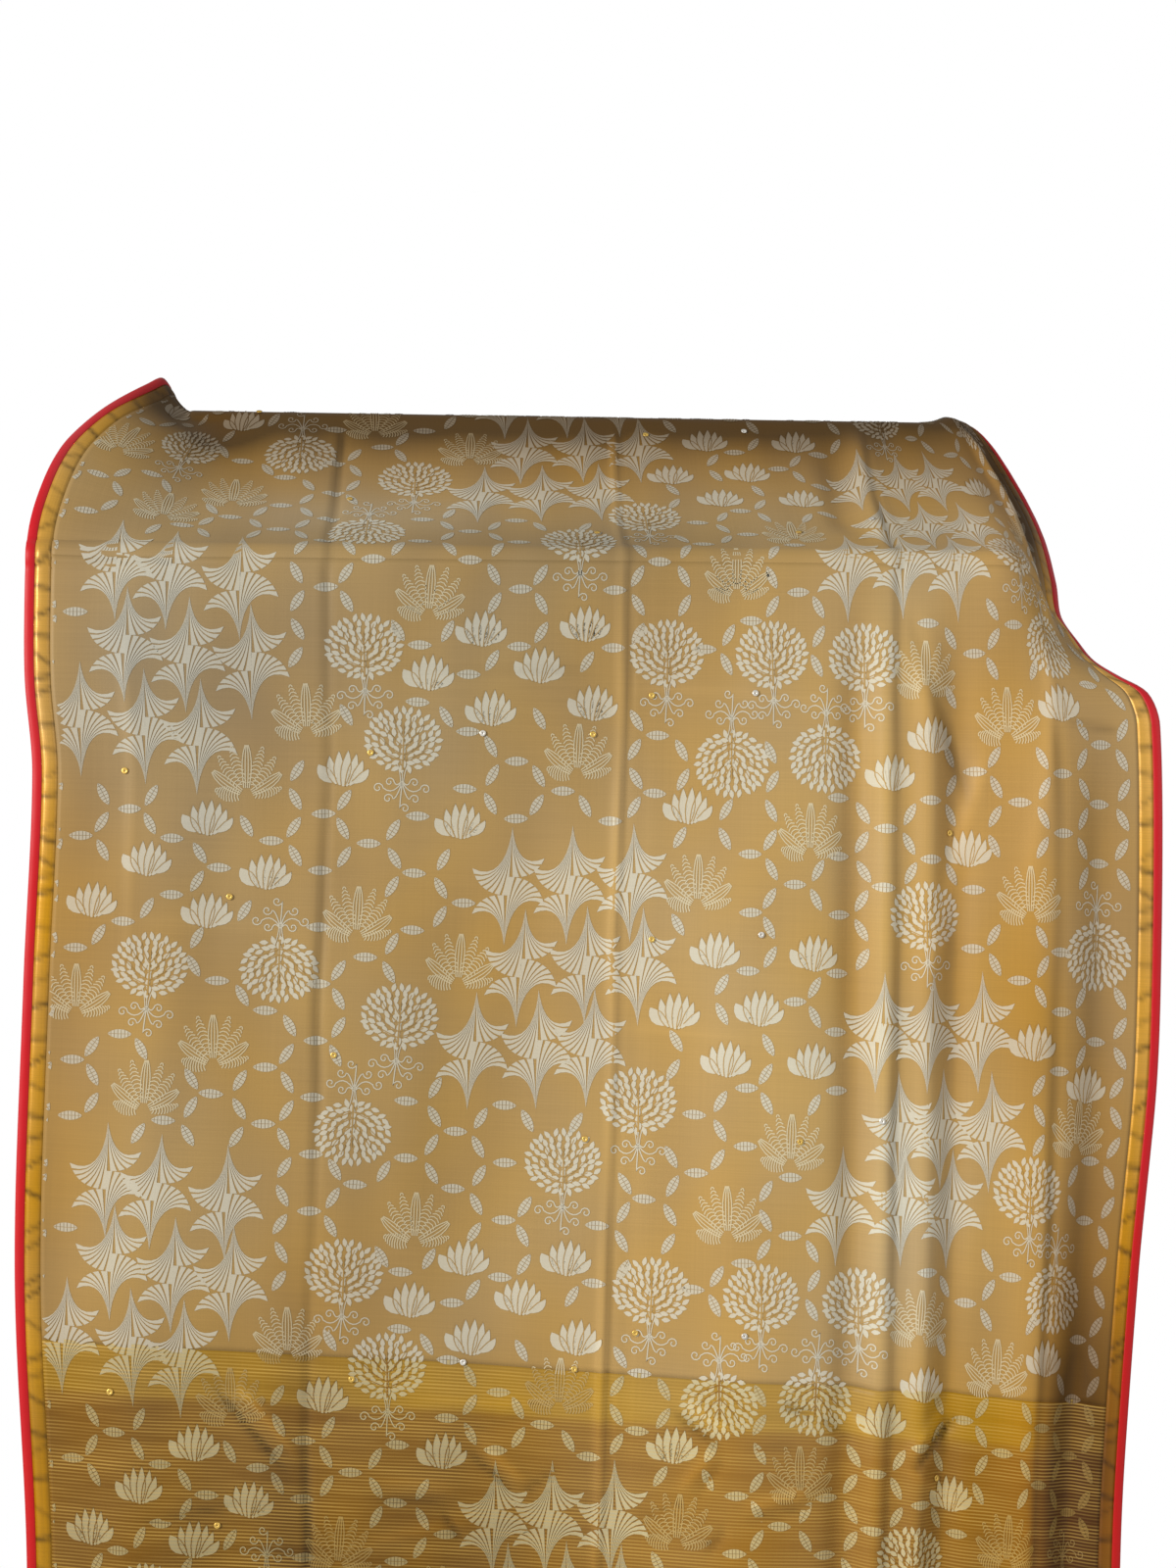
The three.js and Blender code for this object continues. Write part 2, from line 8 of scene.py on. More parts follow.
import bpy
import numpy as np
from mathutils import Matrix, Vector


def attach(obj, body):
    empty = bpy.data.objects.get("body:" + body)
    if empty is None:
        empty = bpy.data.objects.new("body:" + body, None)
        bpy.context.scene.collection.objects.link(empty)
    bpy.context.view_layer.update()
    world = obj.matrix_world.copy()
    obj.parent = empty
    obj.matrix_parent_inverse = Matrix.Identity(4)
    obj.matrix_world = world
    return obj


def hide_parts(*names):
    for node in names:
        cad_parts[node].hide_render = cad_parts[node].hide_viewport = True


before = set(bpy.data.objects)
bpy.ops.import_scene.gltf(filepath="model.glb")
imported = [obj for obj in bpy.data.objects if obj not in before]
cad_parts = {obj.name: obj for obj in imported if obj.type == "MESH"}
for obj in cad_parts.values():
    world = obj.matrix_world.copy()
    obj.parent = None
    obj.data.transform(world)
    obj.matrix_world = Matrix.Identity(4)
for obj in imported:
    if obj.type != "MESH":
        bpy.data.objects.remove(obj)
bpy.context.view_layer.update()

MM = 0.001
rng = np.random.default_rng(7)

# Sizes of the cloth
CLOTH_WIDTH = 1140.0
PIPING_WIDTH = 9.0
BORDER_WIDTH = 14.0
SEAM_GAP = 0.5
PALLU_START = 771.0
PALLU_END = 1621.0
REAR_DROP = 1750.0
WEFT_SKEW = 94.0
CLOTH_THICK = 0.6
BODY_LEFT = PIPING_WIDTH + BORDER_WIDTH + 2 * SEAM_GAP
BODY_RIGHT = CLOTH_WIDTH - BODY_LEFT

# The rail, and how the layers lie on it
WALL = 1.2
LAYER_GAP = 0.5
BAR_RADIUS = 15.0
REAR_BAR = {"left": -372, "right": 372, "y": 0, "z": 0}
FRONT_BAR = {"left": -525, "right": 372, "y": -204, "z": -150}
FRONT_SURFACE = BAR_RADIUS + LAYER_GAP + WALL
REAR_SURFACE = BAR_RADIUS + 2 * (LAYER_GAP + WALL)
TUCK_AT_BAR = LAYER_GAP + 2 * WALL
TUCK_AT_FOLD = 5.0
SLOPE_AT_FRONT = math.radians(24)
SLOPE_AT_REAR = math.radians(49)

# Where the warp threads at the three fold creases, and at the two shoulders, lie across the rail
LEFT_SHOULDER = 200
RIGHT_SHOULDER = 960
STOPS = (LEFT_SHOULDER, CLOTH_WIDTH / 4, CLOTH_WIDTH / 2, CLOTH_WIDTH * 3 / 4, RIGHT_SHOULDER)
ACROSS_COLUMNS = ("v", "shoulder_left", "crease1", "crease2", "crease3", "shoulder_right")
ACROSS = (
    (-2080, -340, -258, 12, 285, 378),
    (-1000, -340, -256, 18, 288, 380),
    (-500, -322, -245, 32, 298, 372),
    (-291, -318, -240, 38, 301, 362),
    (-150, -328, -246, 30, 296, 376),
    (0, -339, -255, 24, 290, 384),
    (200, -340, -257, 20, 291, 388),
    (500, -349, -266, 11, 288, 385),
    (690, -355, -273, 6, 286, 380),
    (1000, -354, -276, -4, 277, 368),
    (1700, -354, -279, -8, 273, 364),
)

# The selvedges in space, with the direction in which the cloth runs out to each
EDGE_COLUMNS = ("v", "x", "y", "z", "tx", "ty", "tz")
LEFT_EDGE = (
    (-1100, -528, 18, -780, -1, 0, 0),
    (-700, -502, 20, -380, -1, 0.1, 0),
    (-500, -462, 26, -178, -0.9, 0.3, 0.1),
    (-380, -428, 32, -48, -0.6, 0.5, 0.5),
    (-325, -412, 22, 28, -0.4, 0.2, 0.9),
    (-291, -419, 0, 51, -0.5, 0, 0.85),
    (-266, -434, -21, 42, -0.65, -0.1, 0.75),
    (-214, -469, -61, 15, -0.75, 0.35, 0.5),
    (-170, -494, -96, -12, -0.8, 0.35, 0.35),
    (-128, -511, -131, -39, -0.88, 0.25, 0.3),
    (-78, -524, -171, -77, -0.95, 0.1, 0.2),
    (-24, -533, -206, -124, -1, 0, 0.1),
    (30, -535, -221, -180, -1, 0, 0),
    (113, -535, -221, -263, -1, 0, 0),
    (202, -528, -221, -352, -1, 0, 0),
    (392, -536, -221, -542, -1, 0, 0),
    (664, -544, -221, -814, -1, 0, 0),
    (936, -533, -221, -1086, -1, 0, 0),
    (1700, -530, -221, -1850, -1, 0, 0),
)
RIGHT_EDGE = (
    (-1100, 548, 18, -780, 1, 0, 0),
    (-700, 520, 22, -380, 1, 0.1, 0),
    (-500, 472, 28, -180, 0.9, 0.3, -0.1),
    (-380, 432, 34, -62, 0.8, 0.4, -0.3),
    (-325, 412, 24, -6, 0.8, 0.3, -0.4),
    (-291, 410, 4, 18, 0.85, 0.1, -0.4),
    (-262, 437, 6, 5, 0.8, 0.28, -0.45),
    (-203, 470, 0, -43, 0.85, 0.25, -0.4),
    (-131, 488, -36, -101, 0.8, 0.35, -0.4),
    (-54, 486, -91, -156, 0.8, 0.35, -0.4),
    (-3, 481, -126, -194, 0.75, 0.35, -0.45),
    (30, 488, -151, -217, 0.75, 0.35, -0.5),
    (66, 500, -176, -241, 0.85, 0.3, -0.4),
    (98, 520, -196, -257, 0.95, 0.25, -0.15),
    (125, 542, -212, -273, 1, 0.1, 0),
    (155, 551, -221, -305, 1, 0, 0),
    (306, 553, -221, -456, 1, 0, 0),
    (497, 548, -221, -647, 1, 0, 0),
    (688, 529, -221, -838, 1, 0, 0),
    (973, 511, -221, -1123, 1, 0, 0),
    (1700, 504, -221, -1850, 1, 0, 0),
)
LEFT = {"u": 0, "side": -1, "rows": LEFT_EDGE, "plain": 30}
RIGHT = {"u": CLOTH_WIDTH, "side": 1, "rows": RIGHT_EDGE, "plain": 155}
PULL_SHARE = 2
PLAIN_BEHIND = -1100  # below here on the rear fall both edges lie in the fall's own plane

# Soft folds along the warp, as the shape has them: u, height outwards, half width, from v, to v, fade
FOLDS = (
    (110, 9, 70, 60, 1800, 260),
    (430, -7, 90, 90, 1800, 300),
    (700, 8, 70, 80, 1800, 320),
    (812, -9, 17, 20, 1800, 140),
    (842, 8, 15, 15, 1800, 140),
    (886, 8, 16, 15, 1800, 140),
    (918, -8, 18, 20, 1800, 160),
    (1010, 10, 36, 90, 1800, 120),
    (1078, -9, 22, 120, 1800, 180),
    (812, -7, 18, -250, -45, 60),
    (845, 6, 16, -270, -35, 50),
    (1062, 9, 16, -262, 70, 50),
    (1096, -7, 13, -262, 70, 50),
    (90, 20, 40, -2200, -400, 380),
    (190, -15, 40, -2200, -420, 420),
    (300, 17, 45, -2200, -410, 400),
    (420, -14, 50, -2200, -450, 480),
    (545, 15, 48, -2200, -430, 430),
    (660, -13, 45, -2200, -480, 450),
    (770, 16, 42, -2200, -400, 420),
    (868, -14, 36, -2200, -420, 400),
    (955, 18, 36, -2200, -400, 360),
    (1050, -14, 38, -2200, -420, 400),
)

# Storage creases, press lines and crumples, each a soft line from one point of the cloth to another:
# u and v at its start and end, height outwards (a trough is negative) and half width
CREASES = (
    (285, -270, 285, 1640, -3, 4.5),
    (570, -270, 570, 1640, 2.8, 4.5),
    (576, -270, 577, 1640, -2.2, 4),
    (855, -270, 855, 1640, -2.8, 5),
    (96, 60, 98, 420, 1.1, 6),
    (1025, 120, 1026, 1640, -3.1, 7),
    (330, 104, 560, 106, -1.5, 4),
    (560, 118, 830, 134, 1, 5),
    (1030, 152, 1108, 162, -2.2, 4),
    (566, 442, 742, 455, 1.3, 5),
    (30, 330, 285, 352, 0.7, 6),
    (190, 765, 268, 862, -4.3, 3.6),
    (205, 758, 285, 856, 3.2, 5),
    (365, 796, 545, 800, 3.6, 5),
    (400, 832, 520, 808, -2.2, 3.6),
    (438, 841, 493, 886, -3.7, 3.6),
    (452, 834, 508, 878, 3.2, 5),
    (337, 878, 439, 896, -3.7, 3.6),
    (337, 864, 445, 882, 3.2, 5),
    (493, 886, 539, 862, -2.8, 3.6),
    (415, 900, 440, 931, -3.1, 3.6),
    (76, 839, 203, 824, 2, 5),
    (94, 903, 232, 880, -2.2, 3.6),
    (636, 805, 697, 848, -5, 3.6),
    (648, 794, 712, 838, 4, 5),
    (697, 848, 660, 893, -4.3, 3.6),
    (684, 840, 645, 886, 3.2, 5),
    (745, 806, 784, 819, -4.3, 3.6),
    (784, 819, 828, 850, -5, 3.6),
    (797, 808, 842, 838, 4, 5),
    (940, 820, 876, 876, -5.6, 3.6),
    (926, 808, 862, 866, 4, 5),
    (707, 850, 770, 846, -2.8, 3.6),
    (707, 917, 790, 902, -4.3, 3.6),
    (705, 902, 788, 888, 3.6, 5),
    (675, 946, 697, 917, -3.7, 3.6),
    (597, 914, 660, 893, -3.1, 3.6),
    (848, 852, 960, 930, 2, 5),
    (330, 930, 470, 905, 2, 5),
    (890, 900, 905, 1040, -2.3, 3.6),
    (860, 30, 940, 250, -3.1, 8),
    (955, 160, 880, 420, 2.5, 9),
    (1035, 60, 985, 330, 2.8, 10),
    (640, 1010, 800, 1060, 1.9, 7),
    (240, 1090, 420, 1050, 1.9, 7),
    (90, 1240, 250, 1290, 1.5, 7),
    (830, 1230, 1010, 1180, 1.8, 7),
    (480, 1330, 640, 1370, 1.5, 7),
    (285, -2040, 285, -300, 1.6, 6),
    (570, -2040, 570, -300, -1.7, 6),
    (855, -2040, 855, -300, 1.5, 6),
    (120, -760, 540, -742, 1.1, 6),
    (560, -1120, 1010, -1150, -1.1, 6),
    (200, -1480, 420, -1440, 1.2, 7),
    (640, -1560, 900, -1600, 1.2, 7),
    (700, -640, 860, -700, 1.3, 7),
    (860, -700, 980, -660, 1.2, 7),
    (150, -1160, 330, -1230, 1.2, 7),
)


def column(rows, names, name):
    """One column of a table, as an array."""
    return np.array([row[names.index(name)] for row in rows], float)


def hermite(t, start, start_pull, end, end_pull):
    t2 = t * t
    t3 = t2 * t
    rest = 1 - 3 * t2 + 2 * t3
    return rest * start + (t3 - 2 * t2 + t) * start_pull + (1 - rest) * end + (t3 - t2) * end_pull


def through(stops, values, x):
    """A smooth curve through values, which may differ by point and whose last axis goes with stops."""
    values = np.broadcast_to(values, (*np.shape(x), len(stops)))
    x = np.clip(x, stops[0], stops[-1])
    i = np.clip(np.searchsorted(stops, x, side="right") - 1, 0, len(stops) - 2)
    low = np.maximum(i - 1, 0)
    high = np.minimum(i + 2, len(stops) - 1)

    def at(k):
        return np.take_along_axis(values, k[..., None], -1)[..., 0]

    span = stops[i + 1] - stops[i]
    start_steepness = (at(i + 1) - at(low)) / (stops[i + 1] - stops[low])
    end_steepness = (at(high) - at(i)) / (stops[high] - stops[i])
    t = (x - stops[i]) / span
    return hermite(t, at(i), start_steepness * span, at(i + 1), end_steepness * span)


def fade_in(x):
    x = np.clip(x, 0, 1)
    return x * x * (3 - 2 * x)


def on_bar(bar, radius, tilt):
    return bar["y"] - radius * np.sin(tilt), bar["z"] + radius * np.cos(tilt)


def slope_line():
    """The sagging cloth between the bars: arc length with y, z and the unit tangent, from foot to head."""
    foot = on_bar(FRONT_BAR, FRONT_SURFACE, SLOPE_AT_FRONT)
    head = on_bar(REAR_BAR, REAR_SURFACE, SLOPE_AT_REAR)
    foot_rise = math.tan(SLOPE_AT_FRONT)
    head_rise = math.tan(SLOPE_AT_REAR)
    bend_y = (head[1] - foot[1] + foot_rise * foot[0] - head_rise * head[0]) / (foot_rise - head_rise)
    bend = (bend_y, foot[1] + foot_rise * (bend_y - foot[0]))
    t = np.linspace(0, 1, 401)[:, None]
    points = (1 - t) ** 2 * np.array(foot) + 2 * t * (1 - t) * np.array(bend) + t * t * np.array(head)
    steps = np.linalg.norm(np.diff(points, axis=0), axis=1)
    along = np.gradient(points, axis=0)
    along /= np.linalg.norm(along, axis=1)[:, None]
    return np.concatenate([[0], np.cumsum(steps)]), points, along


SLOPE_AT, SLOPE_POINTS, SLOPE_TANGENTS = slope_line()
SLOPE_LENGTH = SLOPE_AT[-1]
FRONT_ARC = FRONT_SURFACE * (math.pi / 2 - SLOPE_AT_FRONT)
REAR_ARC = REAR_SURFACE * (math.pi / 2 + SLOPE_AT_REAR)
SLOPE_HEAD = -(FRONT_ARC + SLOPE_LENGTH)
REAR_FALL_START = SLOPE_HEAD - REAR_ARC
REAR_FALL_END = REAR_FALL_START - REAR_DROP
REAR_CREST = SLOPE_HEAD - REAR_SURFACE * SLOPE_AT_REAR


def profile(v):
    """The path's y and z, and its outward normal's y and z."""
    share = np.clip(-v - FRONT_ARC, 0, SLOPE_LENGTH)
    y, z = (np.interp(share, SLOPE_AT, SLOPE_POINTS[:, k]) for k in (0, 1))
    along_y, along_z = (np.interp(share, SLOPE_AT, SLOPE_TANGENTS[:, k]) for k in (0, 1))
    ny, nz = -along_z, along_y
    front = v > -FRONT_ARC
    tilt = np.pi / 2 + np.minimum(v, 0) / FRONT_SURFACE
    arc_y, arc_z = on_bar(FRONT_BAR, FRONT_SURFACE, tilt)
    y = np.where(front, arc_y, y)
    z = np.where(front, arc_z - np.maximum(v, 0), z)
    ny = np.where(front, -np.sin(tilt), ny)
    nz = np.where(front, np.cos(tilt), nz)
    behind = v < SLOPE_HEAD
    tilt = SLOPE_AT_REAR - (SLOPE_HEAD - np.maximum(v, REAR_FALL_START)) / REAR_SURFACE
    arc_y, arc_z = on_bar(REAR_BAR, REAR_SURFACE, tilt)
    y = np.where(behind, arc_y, y)
    z = np.where(behind, arc_z + np.minimum(v - REAR_FALL_START, 0), z)
    ny = np.where(behind, -np.sin(tilt), ny)
    nz = np.where(behind, np.cos(tilt), nz)
    return y, z, ny, nz


def fold_height(u, v):
    height = np.zeros_like(u)
    for fold_u, out, half, start, end, fade in FOLDS:
        near = np.exp(-(((u - fold_u) / half) ** 2))
        height += out * near * fade_in((v - start) / fade) * fade_in((end - v) / fade)
    return height


def crease_height(u, v):
    """Creases wander a little, and their height comes and goes along them."""
    height = np.zeros_like(u)
    for number, (u0, v0, u1, v1, out, half) in enumerate(CREASES):
        run = np.array([u1 - u0, v1 - v0], float)
        length = np.linalg.norm(run)
        run /= length
        along = (u - u0) * run[0] + (v - v0) * run[1]
        aside = (v - v0) * run[0] - (u - u0) * run[1]
        aside = aside + 1.6 * np.sin(along / 61 + number) + 0.7 * np.sin(along / 23 + 2 * number)
        strength = 0.72 + 0.28 * np.sin(along / 87 + 1.7 * number)
        ends = fade_in(along / min(60, length / 3)) * fade_in((length - along) / min(60, length / 3))
        height += out * strength * ends * np.exp(-((aside / half) ** 2))
    return height


def ripple_height(u, v):
    """The faint unevenness of thin silk that hangs free."""
    free = fade_in((v - 30) / 200) + fade_in((REAR_FALL_START - 60 - v) / 200)
    wide = 1.1 * np.sin(u / 47 + 0.9 * np.sin(v / 210)) * np.sin(v / 133 + 0.6 * np.sin(u / 88))
    fine = 0.5 * np.sin(u / 19 + v / 71) * np.sin(v / 43 - u / 97)
    return free * (wide + fine)


def panel_point(u, v):
    values = [through(column(ACROSS, ACROSS_COLUMNS, "v"), column(ACROSS, ACROSS_COLUMNS, name), v)
              for name in ACROSS_COLUMNS[1:]]
    y, z, _, _ = profile(v)
    return np.stack([through(np.array(STOPS, float), np.stack(values, -1), u), y, z], -1)


def wing_point(u, v, shoulder, edge):
    rows = edge["rows"]
    stops = column(rows, EDGE_COLUMNS, "v")
    start = panel_point(np.full_like(v, shoulder), v)
    end = np.stack([through(stops, column(rows, EDGE_COLUMNS, name), v) for name in ("x", "y", "z")], -1)
    out = np.stack([through(stops, column(rows, EDGE_COLUMNS, name), v) for name in ("tx", "ty", "tz")], -1)
    out /= np.linalg.norm(out, axis=-1)[..., None]
    y, z, _, _ = profile(v)
    plain = (v >= edge["plain"]) | (v <= PLAIN_BEHIND)
    end[..., 1] = np.where(plain, y, end[..., 1])
    end[..., 2] = np.where(plain, z, end[..., 2])
    width = abs(edge["u"] - shoulder)
    pull = np.minimum(width, PULL_SHARE * np.linalg.norm(end - start, axis=-1))[..., None]
    t = (np.abs(u - shoulder) / width)[..., None]
    return hermite(t, start, np.array([edge["side"], 0, 0]) * pull, end, out * pull)


END_REACH = 16
END_SOFTNESS = 30


def rest_on_bar(point, bar, surface):
    """Cloth that would sink into a bar lies on it instead."""
    x = point[..., 0]
    past = np.maximum(np.maximum(bar["left"] - x, x - bar["right"]), END_REACH) - END_REACH
    needed = surface * (1 - fade_in(past / END_SOFTNESS))
    dy = point[..., 1] - bar["y"]
    dz = point[..., 2] - bar["z"]
    away = np.maximum(np.hypot(dy, dz), 1e-6)
    grow = np.maximum(needed / away, 1)
    point[..., 1] = bar["y"] + dy * grow
    point[..., 2] = bar["z"] + dz * grow


def drape(u, v):
    point = panel_point(u, v)
    for shoulder, edge in ((LEFT_SHOULDER, LEFT), (RIGHT_SHOULDER, RIGHT)):
        at_side = (u - shoulder) * edge["side"] > 0
        if at_side.any():
            point[at_side] = wing_point(u[at_side], v[at_side], shoulder, edge)
    _, _, ny, nz = profile(v)
    height = fold_height(u, v) + crease_height(u, v) + ripple_height(u, v)
    point[..., 1] += ny * height
    point[..., 2] += nz * height
    rest_on_bar(point, FRONT_BAR, FRONT_SURFACE)
    rest_on_bar(point, REAR_BAR, REAR_SURFACE)
    return point


# The drape is worked out once on a fine grid, and every piece and printed shape is laid on that.
GRID_ACROSS = 4.0
GRID_ALONG = 2.0
GRID_MARGIN = 60
GRID_START = GRID_ALONG * (math.floor(REAR_FALL_END / GRID_ALONG) - 2)
GRID_U = np.arange(0, CLOTH_WIDTH + 1, GRID_ACROSS)
GRID_V = np.arange(GRID_START, PALLU_END + GRID_MARGIN, GRID_ALONG)


def drape_grid():
    u, v = np.meshgrid(GRID_U, GRID_V)
    points = drape(u.ravel(), v.ravel()).reshape(*u.shape, 3)
    across = np.gradient(points, axis=1)
    down = -np.gradient(points, axis=0)
    normals = np.cross(across, down)
    normals /= np.linalg.norm(normals, axis=-1)[..., None]
    down /= np.linalg.norm(down, axis=-1)[..., None]
    return points, normals, down


POINTS, NORMALS, DOWNS = drape_grid()


def from_grid(values, u, v):
    x = np.clip((u - GRID_U[0]) / GRID_ACROSS, 0, len(GRID_U) - 1.001)
    y = np.clip((v - GRID_V[0]) / GRID_ALONG, 0, len(GRID_V) - 1.001)
    i = x.astype(int)
    j = y.astype(int)
    fx = (x - i)[..., None]
    fy = (y - j)[..., None]
    top = values[j, i] * (1 - fx) + values[j, i + 1] * fx
    low = values[j + 1, i] * (1 - fx) + values[j + 1, i + 1] * fx
    return top * (1 - fy) + low * fy


def cloth_side(u, v, turn):
    """The outer side's points and outward normals. turn runs from 0 on the outer layer to pi on the layer
    that is turned up inside the rear fall."""
    point = from_grid(POINTS, u, v)
    outward = from_grid(NORMALS, u, v)
    outward /= np.linalg.norm(outward, axis=-1)[..., None]
    down = from_grid(DOWNS, u, v)
    lower = np.clip((REAR_FALL_START - v) / REAR_DROP, 0, 1)
    radius = ((TUCK_AT_BAR + (TUCK_AT_FOLD - TUCK_AT_BAR) * lower) / 2)[..., None]
    turn = np.asarray(turn)[..., None]
    normal = outward * np.cos(turn) + down * np.sin(turn)
    return np.where(turn > 0, point - outward * radius + normal * radius, point), normal


def skew_share(v):
    return np.clip(v / PALLU_START, 0, 1)


def v_of(c, u):
    """v where the weft thread that is at c in the middle of the cloth crosses u."""
    return c + skew_share(c) * WEFT_SKEW * (u / CLOTH_WIDTH - 0.5)


# Painted light and shade on the cloth, as soft patches: painted shade on the top band, the left ear and the
# right edge, painted sheen on the slope, and darker and lighter places. u, v, radius across and along, and
# the change in lightness, redness and saturation
PAINTED_LIGHT_AND_SHADE = (
    (600, -300, 900, 85, -0.78, 0.12, 0.16),
    (600, -262, 800, 44, -0.22, 0.04, 0.05),
    (640, -190, 600, 70, -0.22, 0.04, 0.04),
    (280, -95, 240, 50, 0.12, -0.02, -0.16),
    (600, -30, 150, 80, -0.24, -0.01, -0.06),
    (120, 500, 250, 1400, -0.27, 0.00, 0.00),
    (150, 110, 150, 150, -0.10, -0.03, -0.22),
    (430, 60, 170, 170, -0.20, -0.02, -0.05),
    (520, 170, 110, 130, -0.10, 0.00, 0.00),
    (410, 520, 110, 190, -0.14, 0.00, 0.04),
    (30, 420, 50, 420, -0.15, 0.05, 0.10),
    (770, 480, 110, 300, 0.10, -0.02, 0.02),
    (860, 30, 90, 90, 0.03, -0.02, -0.08),
    (870, 640, 60, 160, 0.06, -0.02, -0.12),
    (965, 280, 70, 240, -0.04, 0.06, 0.10),
    (1000, 430, 40, 160, -0.22, 0.05, 0.20),
    (1085, 500, 48, 420, -0.26, 0.05, 0.00),
    (1085, 940, 66, 260, -0.56, 0.24, 0.36),
    (200, 960, 230, 180, -0.36, 0.04, 0.14),
    (60, 800, 130, 60, -0.14, 0.02, 0.00),
    (275, 900, 26, 200, -0.20, 0.04, 0.00),
    (470, 920, 110, 140, -0.26, 0.02, 0.05),
    (960, 880, 90, 160, -0.24, 0.06, 0.22),
    (600, 1500, 700, 500, -0.16, 0.02, 0.06),
    (600, 700, 8, 900, 0.06, 0.00, 0.00),
    (812, 400, 14, 380, -0.12, 0.03, 0.05),
    (842, 400, 9, 380, 0.08, -0.02, 0.00),
    (918, 480, 14, 420, -0.10, 0.03, 0.05),
    (150, -255, 42, 50, -0.50, 0.08, 0.10),
    (70, -285, 60, 36, -0.42, 0.06, 0.00),
    (1045, -150, 50, 130, -0.24, 0.10, 0.05),
    (1108, -150, 26, 120, -0.92, 0.15, 0.10),
    (990, -60, 50, 70, 0.16, 0.02, 0.00),
    (1096, -285, 40, 40, -0.40, 0.10, 0.00),
    (1000, -290, 60, 22, -0.30, 0.00, -0.20),
)
# Painted shade and highlight from folds and creases: the cloth is painted darker in their troughs and lighter
# on their ridges
PAINTED_FOLD_SHADE = 0.009  # lightness for each millimetre that a fold stands out
PAINTED_CREASE_SHADE = 0.09  # the same for a crease
PLAIN_SHADE = np.array([1.0, 0.0, 1.0])
LIGHTNESS_LIMITS = (0.15, 1.4)
SATURATION_LIMITS = (0, 1.6)

# Beside the right border the cloth is painted darker in a hard-edged strip: painted shade of a second layer
# seen through the thin silk
STRIP_FROM_U = 1016
STRIP_FROM_V = 560
STRIP_FADE_U = 7
STRIP_FADE_V = 260
STRIP_PAINTED_SHADE = (-0.26, 0.05, 0.05)


def uneven_patches(u, v):
    """Faint uneven patches all over, made of crossed waves: lightness, redness and saturation."""
    wide = np.sin(u / 59 + 1.3 * np.sin(v / 113)) * np.sin(v / 83 + 0.9 * np.sin(u / 71))
    middling = np.sin(u / 27 + 1.1 * np.sin(v / 49)) * np.sin(v / 37 - 1.2 * np.sin(u / 43))
    streak = np.sin(u / 11 + 0.8 * np.sin(v / 67)) * np.sin(v / 151 + u / 90)
    light = 0.045 * wide + 0.035 * middling + 0.025 * streak
    return np.stack([light, -0.015 * wide, 0.05 * middling - 0.05 * wide], -1)


def painted_light_and_tone_of(u, v):
    """The cloth's lightness, redness and saturation at each point, around 1, 0 and 1: painted light and
    shade, and uneven patches.
    """
    total = np.zeros((*u.shape, 3))
    for shade_u, shade_v, wide, tall, light, red, rich in PAINTED_LIGHT_AND_SHADE:
        near = np.exp(-(((u - shade_u) / wide) ** 2) - ((v - shade_v) / tall) ** 2)
        total += near[..., None] * np.array([light, red, rich])
    total += uneven_patches(u, v)
    # painted shade of the layer seen through, beside the right border
    strip = fade_in((u - STRIP_FROM_U) / STRIP_FADE_U) * fade_in((v - STRIP_FROM_V) / STRIP_FADE_V)
    total += strip[..., None] * np.array(STRIP_PAINTED_SHADE)
    # painted shade in the troughs of folds and creases, painted light on their ridges
    total[..., 0] += PAINTED_FOLD_SHADE * fold_height(u, v) * (v > SLOPE_HEAD) + PAINTED_CREASE_SHADE * crease_height(u, v)
    lightness = np.clip(1 + total[..., 0], *LIGHTNESS_LIMITS)
    saturation = np.clip(1 + total[..., 2], *SATURATION_LIMITS)
    return np.stack([lightness, total[..., 1], saturation], -1)


def linear(red, green, blue):
    """An sRGB colour of 0 to 255 as linear light."""
    values = np.array([red, green, blue]) / 255.0
    return np.where(values <= 0.04045, values / 12.92, ((values + 0.055) / 1.055) ** 2.4)


def tinted(colour, shade):
    """The colour under a shade: lighter or darker, redder, and more or less saturated."""
    grey = (colour @ np.array([0.3, 0.55, 0.15]))[..., None]
    rich = grey + (colour - grey) * shade[..., 2:3]
    warm = np.array([1.0, 0.0, -0.5]) * shade[..., 1:2]
    return np.clip(rich * shade[..., 0:1] * (1 + warm), 0, 1)


# Building meshes
def new_mesh(name, points, faces, material, uv=None, colours=None, flat_from=None):
    mesh = bpy.data.meshes.new(name)
    faces = np.asarray(faces, np.int32)
    corners = faces.shape[1]
    mesh.vertices.add(len(points))
    mesh.vertices.foreach_set("co", (np.asarray(points) * MM).astype(np.float32).ravel())
    mesh.loops.add(faces.size)
    mesh.loops.foreach_set("vertex_index", faces.ravel())
    mesh.polygons.add(len(faces))
    mesh.polygons.foreach_set("loop_start", np.arange(0, faces.size, corners, dtype=np.int32))
    mesh.update(calc_edges=True)
    smooth = np.ones(len(faces), bool)
    smooth[flat_from if flat_from is not None else len(faces):] = False
    mesh.polygons.foreach_set("use_smooth", smooth)
    if uv is not None:
        layer = mesh.uv_layers.new(name="cloth")
        layer.data.foreach_set("uv", (uv[faces.ravel()] * MM).astype(np.float32).ravel())
    if colours is not None:
        attribute = mesh.color_attributes.new(name="tone", type="FLOAT_COLOR", domain="POINT")
        rgba = np.concatenate([colours, np.ones((len(colours), 1))], 1)
        attribute.data.foreach_set("color", rgba.astype(np.float32).ravel())
    mesh.materials.append(material)
    mesh.validate()
    piece = bpy.data.objects.new(name, mesh)
    bpy.context.scene.collection.objects.link(piece)
    return piece


def grid_faces(rows, cols, start=0, flip=False):
    i, j = np.meshgrid(np.arange(rows - 1), np.arange(cols - 1), indexing="ij")
    a = (i * cols + j).ravel() + start
    faces = np.stack([a, a + cols, a + cols + 1, a + 1], 1)
    return faces[:, ::-1] if flip else faces


